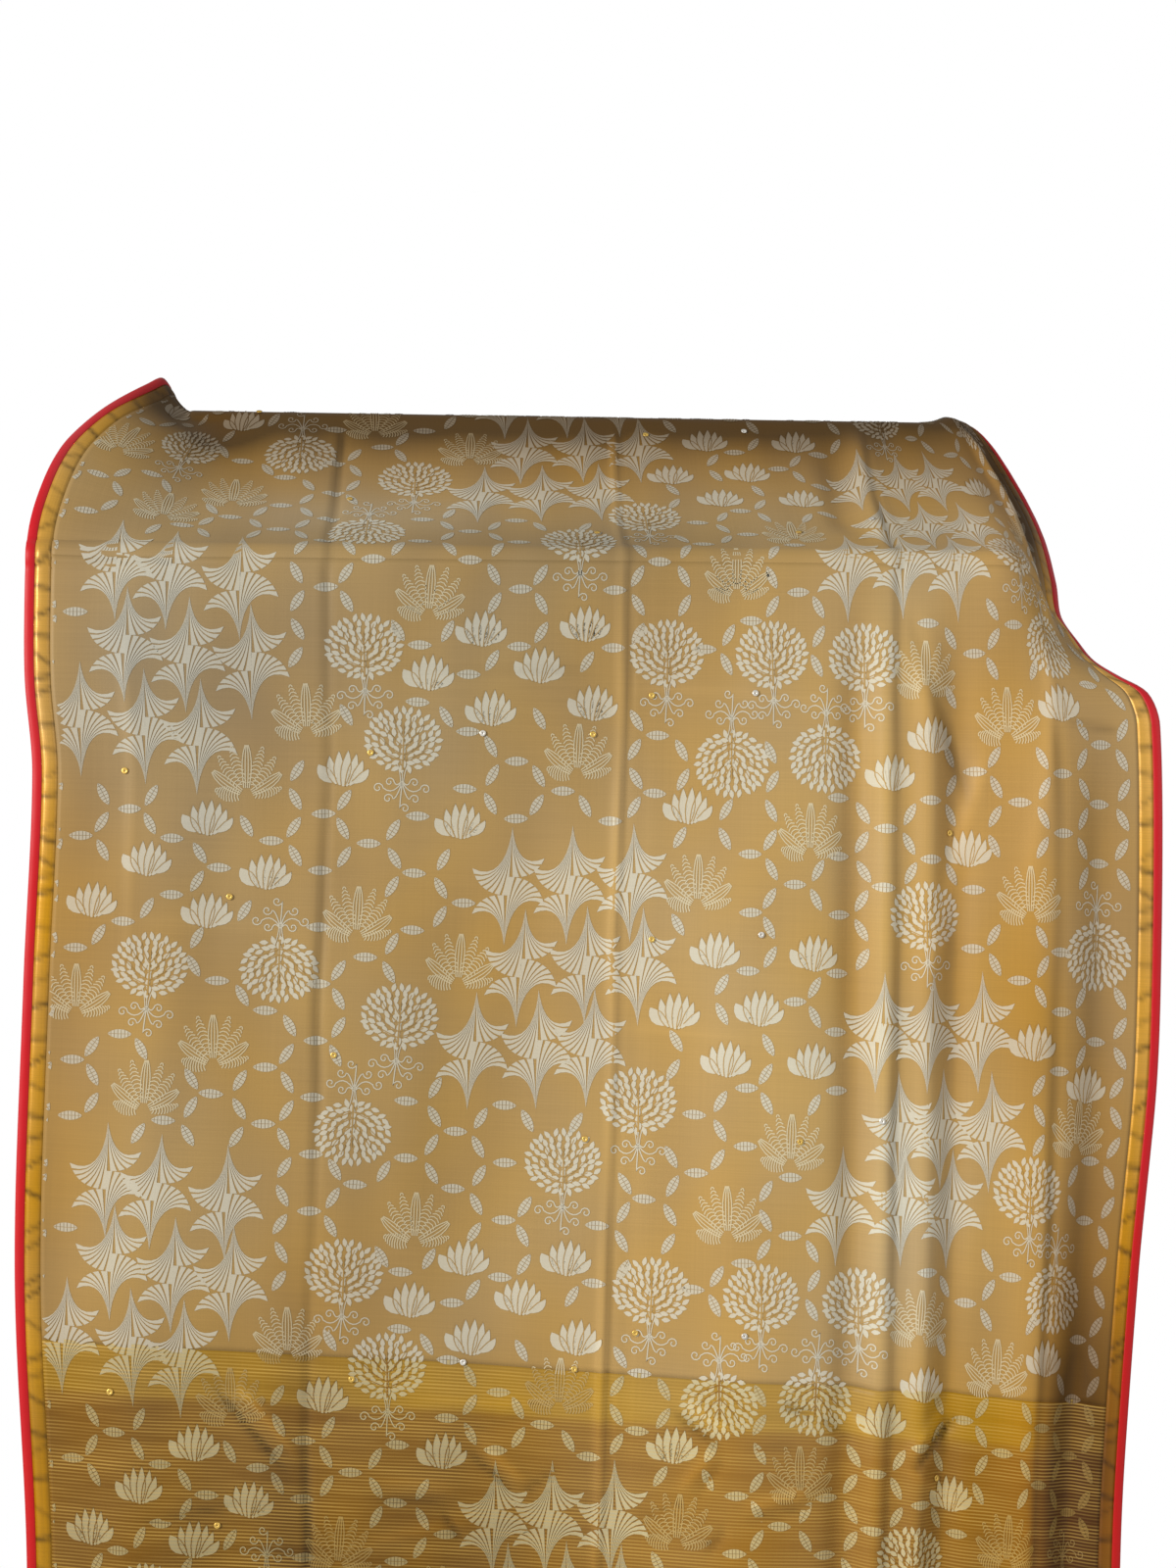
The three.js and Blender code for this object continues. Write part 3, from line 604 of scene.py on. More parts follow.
def rim_faces(rows, cols, back):
    """The narrow faces that close a grid and its copy, whose numbers start at back."""
    ring = np.concatenate([
        np.arange(cols),
        np.arange(1, rows) * cols + cols - 1,
        (rows - 1) * cols + np.arange(cols - 2, -1, -1),
        np.arange(rows - 2, 0, -1) * cols,
    ])
    after = np.roll(ring, -1)
    return np.stack([ring, after, after + back, ring + back], 1)


def path_rows(c_from, c_to, step):
    count = max(1, round(abs(c_to - c_from) / step))
    return np.linspace(c_from, c_to, count + 1)


def shell(name, material, us, cs, turns, colour, lift=None, shaded=1.0):
    """A thin closed sheet over the cloth columns us and the weft rows cs. shaded is the share of the cloth's
    light and dark that it shows."""
    u, c = np.meshgrid(us, cs)
    turn = np.broadcast_to(np.asarray(turns)[:, None], u.shape)
    v = v_of(c, u)
    point, normal = cloth_side(u, v, turn)
    height = np.zeros_like(u) if lift is None else lift(u, c)
    outer = point + normal * height[..., None]
    inner = point - normal * (CLOTH_THICK - height)[..., None]
    points = np.concatenate([outer.reshape(-1, 3), inner.reshape(-1, 3)])
    rows, cols = u.shape
    back = rows * cols
    faces = np.concatenate([
        grid_faces(rows, cols),
        grid_faces(rows, cols, back, flip=True),
        rim_faces(rows, cols, back),
    ])
    uv = np.tile(np.stack([u.ravel(), c.ravel()], 1), (2, 1))
    tone = tinted(colour, PLAIN_SHADE + shaded * (painted_light_and_tone_of(u, v) - PLAIN_SHADE)).reshape(-1, 3)
    sides = 2 * (rows - 1) * (cols - 1)
    return new_mesh(name, points, faces, material, uv, np.tile(tone, (2, 1)), flat_from=sides)


# Materials
def nodes_of(name):
    material = bpy.data.materials.new(name)
    material.use_nodes = True
    tree = material.node_tree
    return material, tree, tree.nodes["Principled BSDF"]


def set_inputs(tree, node, inputs):
    """Inputs are sockets to link or plain values."""
    for name, value in inputs.items():
        if isinstance(value, bpy.types.NodeSocket):
            tree.links.new(value, node.inputs[name])
        else:
            node.inputs[name].default_value = value


def linked(tree, kind, inputs=(), **settings):
    """A new node with its settings and inputs."""
    node = tree.nodes.new(kind)
    for name, value in settings.items():
        setattr(node, name, value)
    set_inputs(tree, node, dict(inputs))
    return node


def maths(tree, operation, first, second=0.0, clamp=False):
    node = linked(tree, "ShaderNodeMath", {0: first, 1: second}, operation=operation, use_clamp=clamp)
    return node.outputs[0]


def threads(tree, coords, across, along):
    """Noise drawn out into threads: scales per metre across the cloth and along it."""
    scale = linked(tree, "ShaderNodeVectorMath", {0: coords, 1: (across, along, 1)}, operation="MULTIPLY")
    noise = linked(tree, "ShaderNodeTexNoise", {"Vector": scale.outputs[0], "Scale": 1.0, "Detail": 3.0})
    return noise.outputs["Fac"]


def scaled(tree, value, less, factor):
    """A value less an amount, times a factor and held between 0 and 1."""
    return maths(tree, "MULTIPLY", maths(tree, "SUBTRACT", value, less), factor, clamp=True)


# Noise scales across and along the cloth, and how the weave and the stripes are made from the noise
WEFT_THREADS = (9, 900)
WARP_THREADS = (900, 7)
WEFT_SHARE = 0.62
WEAVE_DEPTH = 0.6 * MM
SHEEN_ROUGHNESS = 0.4
STRIPE_PITCH = 3.3
STRIPE_DRIFT = (5, 40)
STRIPE_WEAR = (6, 60)
DRIFT_SHARE = 0.5
STRIPE_FROM = 0.70  # the gold starts here, on a scale of 0.5 between two stripes to 1 on a stripe
STRIPE_CRISPNESS = 5.0
WORN_BELOW = 0.28
WEAR_CRISPNESS = 2.6


def gold_stripes(tree, coords, colour, strength):
    """The colour with thin gold weft stripes over it, which drift a little and are worn in places."""
    c = linked(tree, "ShaderNodeSeparateXYZ", {0: coords}).outputs["Y"]
    drift = maths(tree, "MULTIPLY", threads(tree, coords, *STRIPE_DRIFT), DRIFT_SHARE)
    count = maths(tree, "MULTIPLY", c, 1 / MM / STRIPE_PITCH)
    place = maths(tree, "FRACT", maths(tree, "ADD", count, drift))
    nearness = maths(tree, "SUBTRACT", 1.0, maths(tree, "ABSOLUTE", maths(tree, "SUBTRACT", place, 0.5)))
    line = scaled(tree, nearness, STRIPE_FROM, STRIPE_CRISPNESS)
    kept = scaled(tree, threads(tree, coords, *STRIPE_WEAR), WORN_BELOW, WEAR_CRISPNESS)
    mask = maths(tree, "MULTIPLY", maths(tree, "MULTIPLY", line, kept), strength, clamp=True)
    inputs = {"Factor": mask, "A": colour, "B": (*GOLD_THREAD, 1)}
    return linked(tree, "ShaderNodeMix", inputs, data_type="RGBA").outputs["Result"]


def cloth_material(name, roughness, metallic=0.0, sheen=0.0, slub=0.16, bump=0.12, specular=0.4, stripes=0.0):
    """Thin woven silk that takes its colour from the tone of each point. stripes is the strength of the gold
    weft stripes, which only the pallu has."""
    material, tree, shader = nodes_of(name)
    coords = linked(tree, "ShaderNodeUVMap", uv_map="cloth").outputs[0]
    tone = linked(tree, "ShaderNodeAttribute", attribute_name="tone").outputs["Color"]
    weft = maths(tree, "MULTIPLY", threads(tree, coords, *WEFT_THREADS), WEFT_SHARE)
    warp = maths(tree, "MULTIPLY", threads(tree, coords, *WARP_THREADS), 1 - WEFT_SHARE)
    weave = maths(tree, "ADD", weft, warp)
    level = maths(tree, "ADD", maths(tree, "MULTIPLY", weave, 2 * slub), 1 - slub)
    grey = linked(tree, "ShaderNodeCombineXYZ", {0: level, 1: level, 2: level}).outputs[0]
    colour = linked(tree, "ShaderNodeVectorMath", {0: tone, 1: grey}, operation="MULTIPLY").outputs[0]
    if stripes:
        colour = gold_stripes(tree, coords, colour, stripes)
    relief = linked(tree, "ShaderNodeBump", {"Height": weave, "Strength": bump, "Distance": WEAVE_DEPTH})
    set_inputs(tree, shader, {
        "Base Color": colour,
        "Roughness": roughness,
        "Metallic": metallic,
        "Specular IOR Level": specular,
        "Sheen Weight": sheen,
        "Sheen Roughness": SHEEN_ROUGHNESS,
        "Normal": relief.outputs[0],
    })
    return material


def plain_material(name, colour, roughness, metallic=0.0):
    material, tree, shader = nodes_of(name)
    set_inputs(tree, shader, {"Base Color": (*colour, 1), "Roughness": roughness, "Metallic": metallic})
    return material


GROUND = linear(187, 152, 92)
PALLU_GROUND = linear(153, 111, 47)
PALLU_HEAD = linear(178, 138, 54)
PRINT = linear(212, 203, 180)
HATCH = linear(216, 200, 162)
ZARI = linear(230, 174, 66)
RED = linear(204, 4, 24)
GOLD_THREAD = tuple(linear(222, 182, 92))
GOLD_SEQUIN = linear(236, 196, 100)
SILVER_SEQUIN = linear(232, 228, 218)

silk = cloth_material("saree_silk", 0.55, sheen=0.04, specular=0.28)
pallu_silk = cloth_material("pallu_silk", 0.5, sheen=0.03, stripes=0.5, specular=0.28)
print_ink = cloth_material("block_print", 0.7, slub=0.1, specular=0.25)
pallu_ink = cloth_material("pallu_block_print", 0.65, slub=0.12, specular=0.25, stripes=0.4)
zari = cloth_material("zari", 0.4, metallic=0.25, slub=0.3, bump=0.3, specular=0.5)
red_silk = cloth_material("red_piping", 0.5, sheen=0.3, slub=0.08)
rail_paint = plain_material("rail_paint", linear(28, 23, 20), 0.45, metallic=0.3)
sequin_gold = plain_material("sequin_gold", GOLD_SEQUIN, 0.35, metallic=0.5)
sequin_silver = plain_material("sequin_silver", SILVER_SEQUIN, 0.35, metallic=0.4)


# The cloth's pieces, named as the solids they stand for
COLUMN_STEP = 4.0
CLOTH_COLUMNS = np.arange(BODY_LEFT, BODY_RIGHT + 1, COLUMN_STEP)
COARSE_COLUMNS = np.linspace(BODY_LEFT, BODY_RIGHT, 118)
INNER_COLUMNS = np.linspace(BODY_LEFT, BODY_RIGHT, 80)
FRONT_STEP = 6.0
SLOPE_STEP = 5.0
BAR_STRETCH = 22.0
BAR_STEP = 1.0
REAR_STEP = 14.0
REAR_ARC_STEP = 5.0
INNER_STEP = 20.0
INNER_ARC_STEP = 7.0
FOLD_TURNS = np.linspace(math.pi, 0, 9)


def flat_rows(c_from, c_to, step):
    cs = path_rows(c_from, c_to, step)
    return cs, np.zeros(len(cs))


def joined_rows(*parts):
    """Rows of several stretches in one, each as its rows and their turns."""
    return np.concatenate([cs for cs, _ in parts]), np.concatenate([turns for _, turns in parts])


def rear_rows(step, arc_step):
    low, low_turns = flat_rows(REAR_FALL_END, REAR_FALL_START, step)
    arc, arc_turns = flat_rows(REAR_FALL_START, REAR_CREST, arc_step)
    fold = np.full(len(FOLD_TURNS), REAR_FALL_END)
    return joined_rows((fold, FOLD_TURNS), (low[1:], low_turns[1:]), (arc[1:], arc_turns[1:]))


def slope_rows():
    """The rows lie closest together where the cloth bends over the front bar."""
    high, high_turns = flat_rows(REAR_CREST, -BAR_STRETCH, SLOPE_STEP)
    low, low_turns = flat_rows(-BAR_STRETCH, 0, BAR_STEP)
    return joined_rows((high, high_turns), (low[1:], low_turns[1:]))


def inner_rows(step, arc_step):
    arc = path_rows(SLOPE_HEAD, REAR_FALL_START, arc_step)
    low = path_rows(REAR_FALL_START, REAR_FALL_END, step)[1:]
    cs = np.concatenate([arc, low])
    return cs, np.full(len(cs), math.pi)


HEAD_END = 822.0
HEAD_FADE = 10.0


def pallu_ground(c):
    """The pallu opens with a dense golden band and goes on darker."""
    head = fade_in((HEAD_END - c) / HEAD_FADE)[..., None]
    return PALLU_GROUND * (1 - head) + PALLU_HEAD * head


def cloth_pieces():
    pieces = {}
    spread = {
        "front_fall": (flat_rows(0, PALLU_START, FRONT_STEP), CLOTH_COLUMNS),
        "top_slope": (slope_rows(), CLOTH_COLUMNS),
        "rear_fall": (rear_rows(REAR_STEP, REAR_ARC_STEP), COARSE_COLUMNS),
        "rear_inner": (inner_rows(INNER_STEP, INNER_ARC_STEP), INNER_COLUMNS),
    }
    for name, ((cs, turns), us) in spread.items():
        pieces[name] = shell(name + "_silk", silk, us, cs, turns, GROUND)
    cs, turns = flat_rows(PALLU_START, PALLU_END - PIPING_WIDTH, FRONT_STEP)
    _, c = np.meshgrid(CLOTH_COLUMNS, cs)
    pieces["pallu"] = shell("pallu_silk", pallu_silk, CLOTH_COLUMNS, cs, turns, pallu_ground(c))
    return pieces


# The zari borders: a ribbon that the stitching puckers at uneven places
PUCKER_GAPS = (13, 36)
PUCKER_HALF = 2.6
PUCKER_HEIGHT = 1.1
# How much darker the zari is painted in a pucker's hollow, as painted shade
PUCKER_PAINTED_SHADE = 0.72
WHOLE_STEP = 4.0


def pucker_places():
    """Where the puckers are along the ribbon, how they slant and how deep they are."""
    places = [REAR_FALL_END - 20]
    while places[-1] < PALLU_END:
        places.append(places[-1] + rng.uniform(*PUCKER_GAPS))
    return np.array(places), rng.uniform(-0.8, 0.8, len(places)), rng.uniform(0.4, 1.0, len(places))


PUCKERS = pucker_places()


def pucker_depth(u, c, middle):
    """How deep the ribbon is drawn in, 0 to 1."""
    places, slants, depths = PUCKERS
    nearest = np.clip(np.searchsorted(places, c), 1, len(places) - 1)
    depth = np.zeros_like(c)
    for k in (nearest - 1, nearest):
        away = (c - places[k] - slants[k] * (u - middle)) / PUCKER_HALF
        depth = np.maximum(depth, depths[k] * np.exp(-away * away))
    return depth


def whole_rows(step):
    """Rows over the whole length, from the layer turned up inside to the pallu's end."""
    inner, inner_turns = inner_rows(step * 3, 5)
    rear, rear_turns = rear_rows(step * 1.5, 4)
    front, front_turns = flat_rows(REAR_CREST, PALLU_END, step)
    return joined_rows((inner, inner_turns), (rear[1:], rear_turns[1:]), (front[1:], front_turns[1:]))


def border(name, u_from, u_to):
    middle = (u_from + u_to) / 2
    us = np.linspace(u_from, u_to, 5)
    cs, turns = whole_rows(WHOLE_STEP)

    def lift(u, c):
        bulge = np.clip(1 - ((u - middle) / (BORDER_WIDTH / 2)) ** 2, 0, 1)
        return PUCKER_HEIGHT * bulge * (1 - pucker_depth(u, c, middle))

    u, c = np.meshgrid(us, cs)
    # painted shade in the hollows of the puckers
    dark = 1 - PUCKER_PAINTED_SHADE * pucker_depth(u, c, middle)
    return shell(name, zari, us, cs, turns, ZARI * dark[..., None], lift)


# The piping: a binding with a round top that twists a little along the selvedges
PIPING_HALF = PIPING_WIDTH / 2
PIPING_STEP = 5.0
END_PIPING_STEP = 8.0
PIPING_SHADE = 0.3  # the share of the cloth's light and dark that the piping shows
TWIST = 0.12


def round_top(away):
    return np.sqrt(np.clip(1 - (away / PIPING_HALF) ** 2, 0, 1))


def piping(name, u_from, u_to):
    middle = (u_from + u_to) / 2
    us = middle + np.array([-PIPING_HALF, -3.4, 0, 3.4, PIPING_HALF])
    cs, turns = whole_rows(PIPING_STEP)

    def lift(u, c):
        return round_top(u - middle) * (1 + TWIST * np.sin(c / 5))

    return shell(name, red_silk, us, cs, turns, RED, lift, shaded=PIPING_SHADE)


def end_piping():
    us = np.concatenate([np.arange(0, CLOTH_WIDTH, END_PIPING_STEP), [CLOTH_WIDTH]])
    middle = PALLU_END - PIPING_HALF
    cs = middle + np.array([-PIPING_HALF, -3.3, 0, 3.3, PIPING_HALF])

    def lift(u, c):
        return round_top(c - middle)

    return shell("piping_end_silk", red_silk, us, cs, np.zeros(5), RED, lift, shaded=PIPING_SHADE)


# The block print. A motif is a list of bands, each the two long edges of a strip in millimetres, x to the
# right and y up.
def band(centres, widths):
    centres = np.asarray(centres, float)
    along = np.gradient(centres, axis=0)
    along /= np.maximum(np.linalg.norm(along, axis=1), 1e-9)[:, None]
    side = np.stack([-along[:, 1], along[:, 0]], 1) * (np.asarray(widths, float) / 2)[:, None]
    return centres + side, centres - side


def bezier(points, t):
    """A Bezier curve of 3 or 4 points at each t."""
    points = [np.asarray(p, float) for p in points]
    t = np.asarray(t, float)[:, None]
    while len(points) > 1:
        points = [a * (1 - t) + b * t for a, b in zip(points, points[1:])]
    return points[0]


def turned(points, degrees, shift=(0, 0)):
    angle = math.radians(degrees)
    spin = np.array([[math.cos(angle), math.sin(angle)], [-math.sin(angle), math.cos(angle)]])
    return np.asarray(points, float) @ spin + np.array(shift)


# Half a fan: the middle rib's control points, the outer rib's, and how the ribs' ends swing between them
FAN_HALVES = (
    {
        "ribs": 7,
        "middle": ((0, 0), (0, -22), (-1, -45), (-1, -66)),
        "outer": ((0, 0), (-2.5, -28), (-13, -53), (-38, -40)),
        "swing": (-31, -67),
    },
    {
        "ribs": 5,
        "middle": ((0, 0), (0, -16), (0.6, -33), (0.6, -48)),
        "outer": ((0, 0), (3, -22), (11, -40), (33, -28)),
        "swing": (25, -50),
    },
)
FAN_CENTRE = np.array([-2.0, -57.0])
RIB_GAP = 0.14  # of a rib's own share of the fan, on each side of it


def fan_unit():
    bands = []
    t = np.linspace(0, 1, 10)
    for half in FAN_HALVES:
        middle = [np.array(p, float) for p in half["middle"]]
        outer = [np.array(p, float) for p in half["outer"]]

        def rib_edge(share):
            low = [a * (1 - share) + b * share for a, b in zip(middle, outer)]
            low[3] = bezier([middle[3], half["swing"], outer[3]], [share])[0]
            return bezier(low, t)

        for k in range(half["ribs"]):
            edges = (rib_edge((k + RIB_GAP) / half["ribs"]), rib_edge((k + 1 - RIB_GAP) / half["ribs"]))
            bands.append(edges)
            bands.append(tuple(2 * FAN_CENTRE - edge for edge in edges))
    return bands


def spiral(start, bend, centre, radius, turns, side):
    """A stem from start that bends over into a curl round centre."""
    angle = np.linspace(0, turns * 2 * math.pi, 13)
    curl = np.asarray(centre, float) + np.stack(
        [side * np.cos(angle), np.sin(angle)], 1) * (radius * (1 - 0.8 * angle / angle[-1]))[:, None]
    stem = bezier([start, bend, curl[0]], np.linspace(0, 1, 6))[:-1]
    return band(np.concatenate([stem, curl]), np.full(18, 1.15))


CROWN_RINGS = ((0.14, 5), (0.36, 11), (0.58, 17), (0.79, 23), (0.99, 28))
CROWN_WIDE = 35.0
CROWN_TALL = 29.0


def tree():
    """A tree of life: a crown of small leaves round 0, 0, thin trunk lines and curling roots."""
    bands = []
    leaf = np.array([-4.3, -1.4, 1.6, 4.3])
    for share, count in CROWN_RINGS:
        for k in range(count):
            angle = 2 * math.pi * (k + 0.5 * (count % 2)) / count + 0.04 * math.sin(5 * k)
            x = share * CROWN_WIDE * math.sin(angle)
            y = share * CROWN_TALL * math.cos(angle)
            lean = 90 - math.degrees(math.atan2(x, y + 20)) + 24 * math.sin(3.1 * k + 9 * share)
            points = turned(np.stack([leaf, np.zeros(4)], 1), lean, (x, y))
            bands.append(band(points, (0.6, 4.6, 3.9, 0.3)))
    for side in (-1, 0, 1):
        points = bezier([(5.5 * side, -22), (0.9 * side, -34), (1.3 * side, -45)], np.linspace(0, 1, 6))
        bands.append(band(points, np.full(6, 0.9)))
    for side in (-1, 1):
        bands.append(spiral((0.6 * side, -40), (5 * side, -46), (12 * side, -41), 4.6, 1.15, -side))
        bands.append(spiral((0.9 * side, -42), (9 * side, -54), (23 * side, -47), 5.2, 1.2, -side))
        bands.append(spiral((0.9 * side, -44), (5 * side, -57), (13 * side, -57), 5.0, 1.15, -side))
    bands.append(spiral((0, -44), (-1, -56), (3.6, -66), 4.9, 1.2, -1))
    return bands


# The branches: where each leaves the trunk, and its tip's x and y
BRANCHES = ((-20, 24, -9), (-14, 25, 4), (-6, 19, 15), (2, 10, 22))


def tree_lines():
    """The unprinted trunk and branches that show through the crown."""
    bands = [band(bezier([(0, -29), (0.6, -8), (0, 14)], np.linspace(0, 1, 9)), np.linspace(1.9, 0.9, 9))]
    for side in (-1, 1):
        for root, tip_x, tip_y in BRANCHES:
            bend = (tip_x * side * 0.45, root + 4)
            line = bezier([(0, root), bend, (tip_x * side, tip_y)], np.linspace(0, 1, 6))
            bands.append(band(line, np.linspace(1.1, 0.6, 6)))
    return bands


# A petal's width along its length, both as shares
PETAL_SHARES = np.array([0.0, 0.15, 0.35, 0.55, 0.75, 0.9, 1.0])
PETAL_WIDTHS = np.array([0.3, 0.62, 0.92, 1.0, 0.76, 0.4, 0.04])

# Petals of a solid lotus: where each springs from, its tip, and its width
SOLID_PETALS = (
    ((-7, -11), (-24, 4), 13),
    ((-6, -14), (-14, 13), 9.5),
    ((-3, -15), (-5, 18), 9.5),
    ((0, -16), (4, 19), 9.5),
    ((3, -15.5), (12, 16), 9),
    ((6, -14.5), (18, 10), 8.5),
    ((9, -12), (24, 2), 8),
)


def solid_petals():
    """The middle line and the two edges of each petal."""
    petals = []
    for root, tip, width in SOLID_PETALS:
        root = np.array(root, float)
        tip = np.array(tip, float)
        bulge = root + (tip - root) * 0.5 + np.array([0.16 * tip[0], -3.0])
        line = bezier([root, bulge, tip], PETAL_SHARES)
        petals.append((line, band(line, PETAL_WIDTHS * width)))
    return petals


def solid_lotus():
    bands = []
    for line, (left, right) in solid_petals():
        bands.append((left, line))
        bands.append((line, right))
    return bands


def lotus_lines():
    """The unprinted lines that part the petals."""
    bands = []
    for number, (_, (left, right)) in enumerate(solid_petals()):
        if number > 0:
            bands.append(band(left, np.full(len(left), 0.8)))
        if number in (0, 3):
            bands.append(band(right[:5], np.full(5, 0.7)))
    return bands


# Petals of a hatched lotus: lean in degrees from upright, length and width
PETALS = (
    (-84, 20, 11),
    (-56, 27, 8),
    (-36, 30, 7.5),
    (-17, 32, 7.5),
    (1, 33, 7.5),
    (20, 32, 7.5),
    (39, 30, 8),
    (60, 27, 8),
    (82, 23, 7),
)


def petal_line(lean, length):
    """The middle line of a petal, which bends upright towards its tip."""
    out = turned([(0, length)], -lean)[0]
    straight = turned([(0, length * 0.6)], -lean * 1.1)[0]
    return [np.zeros(2), straight, out + np.array([0, 2.0])]


HATCH_SCALE = 1.5
HATCH_SHARES = np.linspace(0.12, 1, 12)
HATCH_ROOT = np.array([0, -22])


def hatched_lotus():
    """A larger lotus whose petals are only fine lines, along every third petal and across the others."""
    bands = []
    for number, (lean, length, width) in enumerate(PETALS):
        line = bezier(petal_line(lean, length), HATCH_SHARES) * HATCH_SCALE + HATCH_ROOT
        widths = np.interp(HATCH_SHARES, PETAL_SHARES, PETAL_WIDTHS) * width * HATCH_SCALE * 0.92
        left, right = band(line, widths)
        if number % 3 == 1:
            for share in (0.06, 0.35, 0.65, 0.94):
                row = (left * (1 - share) + right * share)[::2]
                bands.append(band(row, np.full(len(row), 1.15)))
        else:
            for k in range(1, 11):
                ahead = line[k] + (line[k] - line[k - 1]) * 1.3
                arc = bezier([left[k], ahead, right[k]], np.linspace(0, 1, 4))
                bands.append(band(arc, np.full(4, 1.2)))
    return bands


LEAF_LENGTH = 24.0
LEAF_WIDTH = 9.0
LEAF_CELLS = 7


def grid_leaf():
    """A pointed oval of small cells in two rows."""
    bands = []
    cell = LEAF_LENGTH / LEAF_CELLS
    for k in range(LEAF_CELLS):
        x = np.array([k * cell + 0.2, (k + 1) * cell - 0.3]) - LEAF_LENGTH / 2
        half = LEAF_WIDTH / 2 * np.clip(1 - (2 * x / LEAF_LENGTH) ** 2, 0.02, 1) ** 0.8
        for side in (-1, 1):
            bands.append((np.stack([x, side * half], 1), np.stack([x, np.full(2, side * 0.2)], 1)))
    return bands


def motif_mesh(bands):
    """Points and four-cornered faces of a motif's bands, all facing the same way."""
    points = []
    faces = []
    start = 0
    for left, right in bands:
        count = len(left)
        k = np.arange(count - 1)
        quads = np.stack([k, k + count, k + count + 1, k + 1], 1) + start
        corner = np.stack([left[0], right[0], right[1]])
        facing = np.cross(corner[1] - corner[0], corner[2] - corner[0])
        points += [left, right]
        faces.append(quads if facing > 0 else quads[:, ::-1])
        start += 2 * count
    return np.concatenate(points), np.concatenate(faces)


# One repeat of the print over the whole width: u, and c from the repeat's start, of each motif's middle
REPEAT = 604.0
FANS = (
    (84, 553), (142, 562), (200, 570), (96, 633), (155, 642), (210, 648),
    (52, 707), (110, 713), (165, 722), (467, 255), (525, 252), (584, 248),
    (483, 333), (540, 328), (597, 327), (438, 414), (495, 410), (553, 406),
    (843, 381), (893, 379), (945, 377), (855, 473), (906, 469), (955, 469),
    (805, 546), (864, 542), (920, 544),
)
TREES = (
    (124, 399), (365, 441), (318, 85), (359, 174), (616, 87), (721, 87), (818, 88), (881, 328), (526, 573),
    (597, 512), (998, 579),
)
HANGING_TREES = ((245, 399), (682, 190), (780, 183), (321, 554), (1036, 72), (1072, 360))
LOTUSES = (
    (431, 67), (532, 61), (382, 110), (491, 101), (441, 143), (545, 136), (302, 204), (172, 255), (116, 296),
    (63, 338), (230, 306), (176, 345), (414, 252), (638, 232), (889, 160), (846, 196), (669, 367), (770, 367),
    (630, 426), (717, 420), (682, 469), (770, 468), (928, 265), (1026, 128), (998, 442), (1065, 480),
)
HATCHED = (
    (384, 32), (262, 148), (207, 209), (529, 182), (684, 10), (884, 98), (970, 140), (763, 252), (650, 303),
    (420, 386), (319, 343), (48, 427), (182, 472), (122, 518), (991, 305), (749, 544), (1056, 518),
)

# Each motif: its printed bands, the unprinted lines in them, its places, its turn in degrees, its tint, and
# the oval that it keeps clear of leaves, as its middle's x and y and its half width and half height
MOTIFS = (
    {"bands": fan_unit, "places": FANS, "turn": 0, "tint": "print", "keep": (0, -57, 44, 64)},
    {"bands": tree, "lines": tree_lines, "places": TREES, "turn": 0, "tint": "print",
     "keep": (0, -16, 41, 52)},
    {"bands": tree, "lines": tree_lines, "places": HANGING_TREES, "turn": 180, "tint": "print",
     "keep": (0, 16, 41, 52)},
    {"bands": solid_lotus, "lines": lotus_lines, "places": LOTUSES, "turn": 0, "tint": "print",
     "keep": (0, 0, 31, 26)},
    {"bands": hatched_lotus, "places": HATCHED, "turn": 0, "tint": "hatch", "keep": (0, 2, 40, 34)},
)
RING = 54.0
RING_SIDE = RING / math.sqrt(3)


def ring_leaves():
    """The leaves of a honeycomb of rings over one repeat, clear of the motifs: u, c and lean."""
    rows = round(REPEAT / RING)
    pitch = REPEAT / rows
    columns = round(CLOTH_WIDTH / (1.5 * RING_SIDE)) + 1
    places = []
    for i in range(columns):
        for j in range(rows):
            u = i * 1.5 * RING_SIDE
            c = (j + 0.5 * (i % 2)) * pitch
            places += [
                (u, c - pitch / 2, 0),
                (u + 0.75 * RING_SIDE, c - pitch / 4, -60),
                (u + 0.75 * RING_SIDE, c + pitch / 4, 60),
            ]
    kept = []
    for u, c, lean in places:
        clear = True
        for motif in MOTIFS:
            keep_x, keep_y, wide, tall = motif["keep"]
            for at_u, at_c in motif["places"]:
                dc = (c - (at_c - keep_y) + REPEAT / 2) % REPEAT - REPEAT / 2
                if ((u - at_u - keep_x) / wide) ** 2 + (dc / tall) ** 2 < 1:
                    clear = False
        if clear and BODY_LEFT - 4 < u < BODY_RIGHT + 4:
            kept.append((u, c, lean))
    return kept


PRINT_LIFT = 0.35
LINE_LIFT = 0.55
PRINTED_FROM = REAR_FALL_END + 6
PRINT_MARGIN = 0.5
MOTIF_REACH = 130
INK_SHADE = 0.84  # the share of the cloth's light and dark that the print shows


def repeats(c_from, c_to):
    """The numbers of the repeats that can reach into a stretch of cloth."""
    return range(math.floor(c_from / REPEAT) - 1, math.ceil(c_to / REPEAT) + 1)


def stamp(shapes, us, cs, leans):
    """Copies of one motif on the flat cloth: u and c of each point, and the faces."""
    points, faces = shapes
    angle = np.radians(leans)[:, None]
    x = points[None, :, 0] * np.cos(angle) - points[None, :, 1] * np.sin(angle)
    y = points[None, :, 0] * np.sin(angle) + points[None, :, 1] * np.cos(angle)
    u = us[:, None] + x
    c = cs[:, None] - y
    offsets = np.arange(len(us))[:, None, None] * len(points)
    return u.ravel(), c.ravel(), (faces[None] + offsets).reshape(-1, 4)


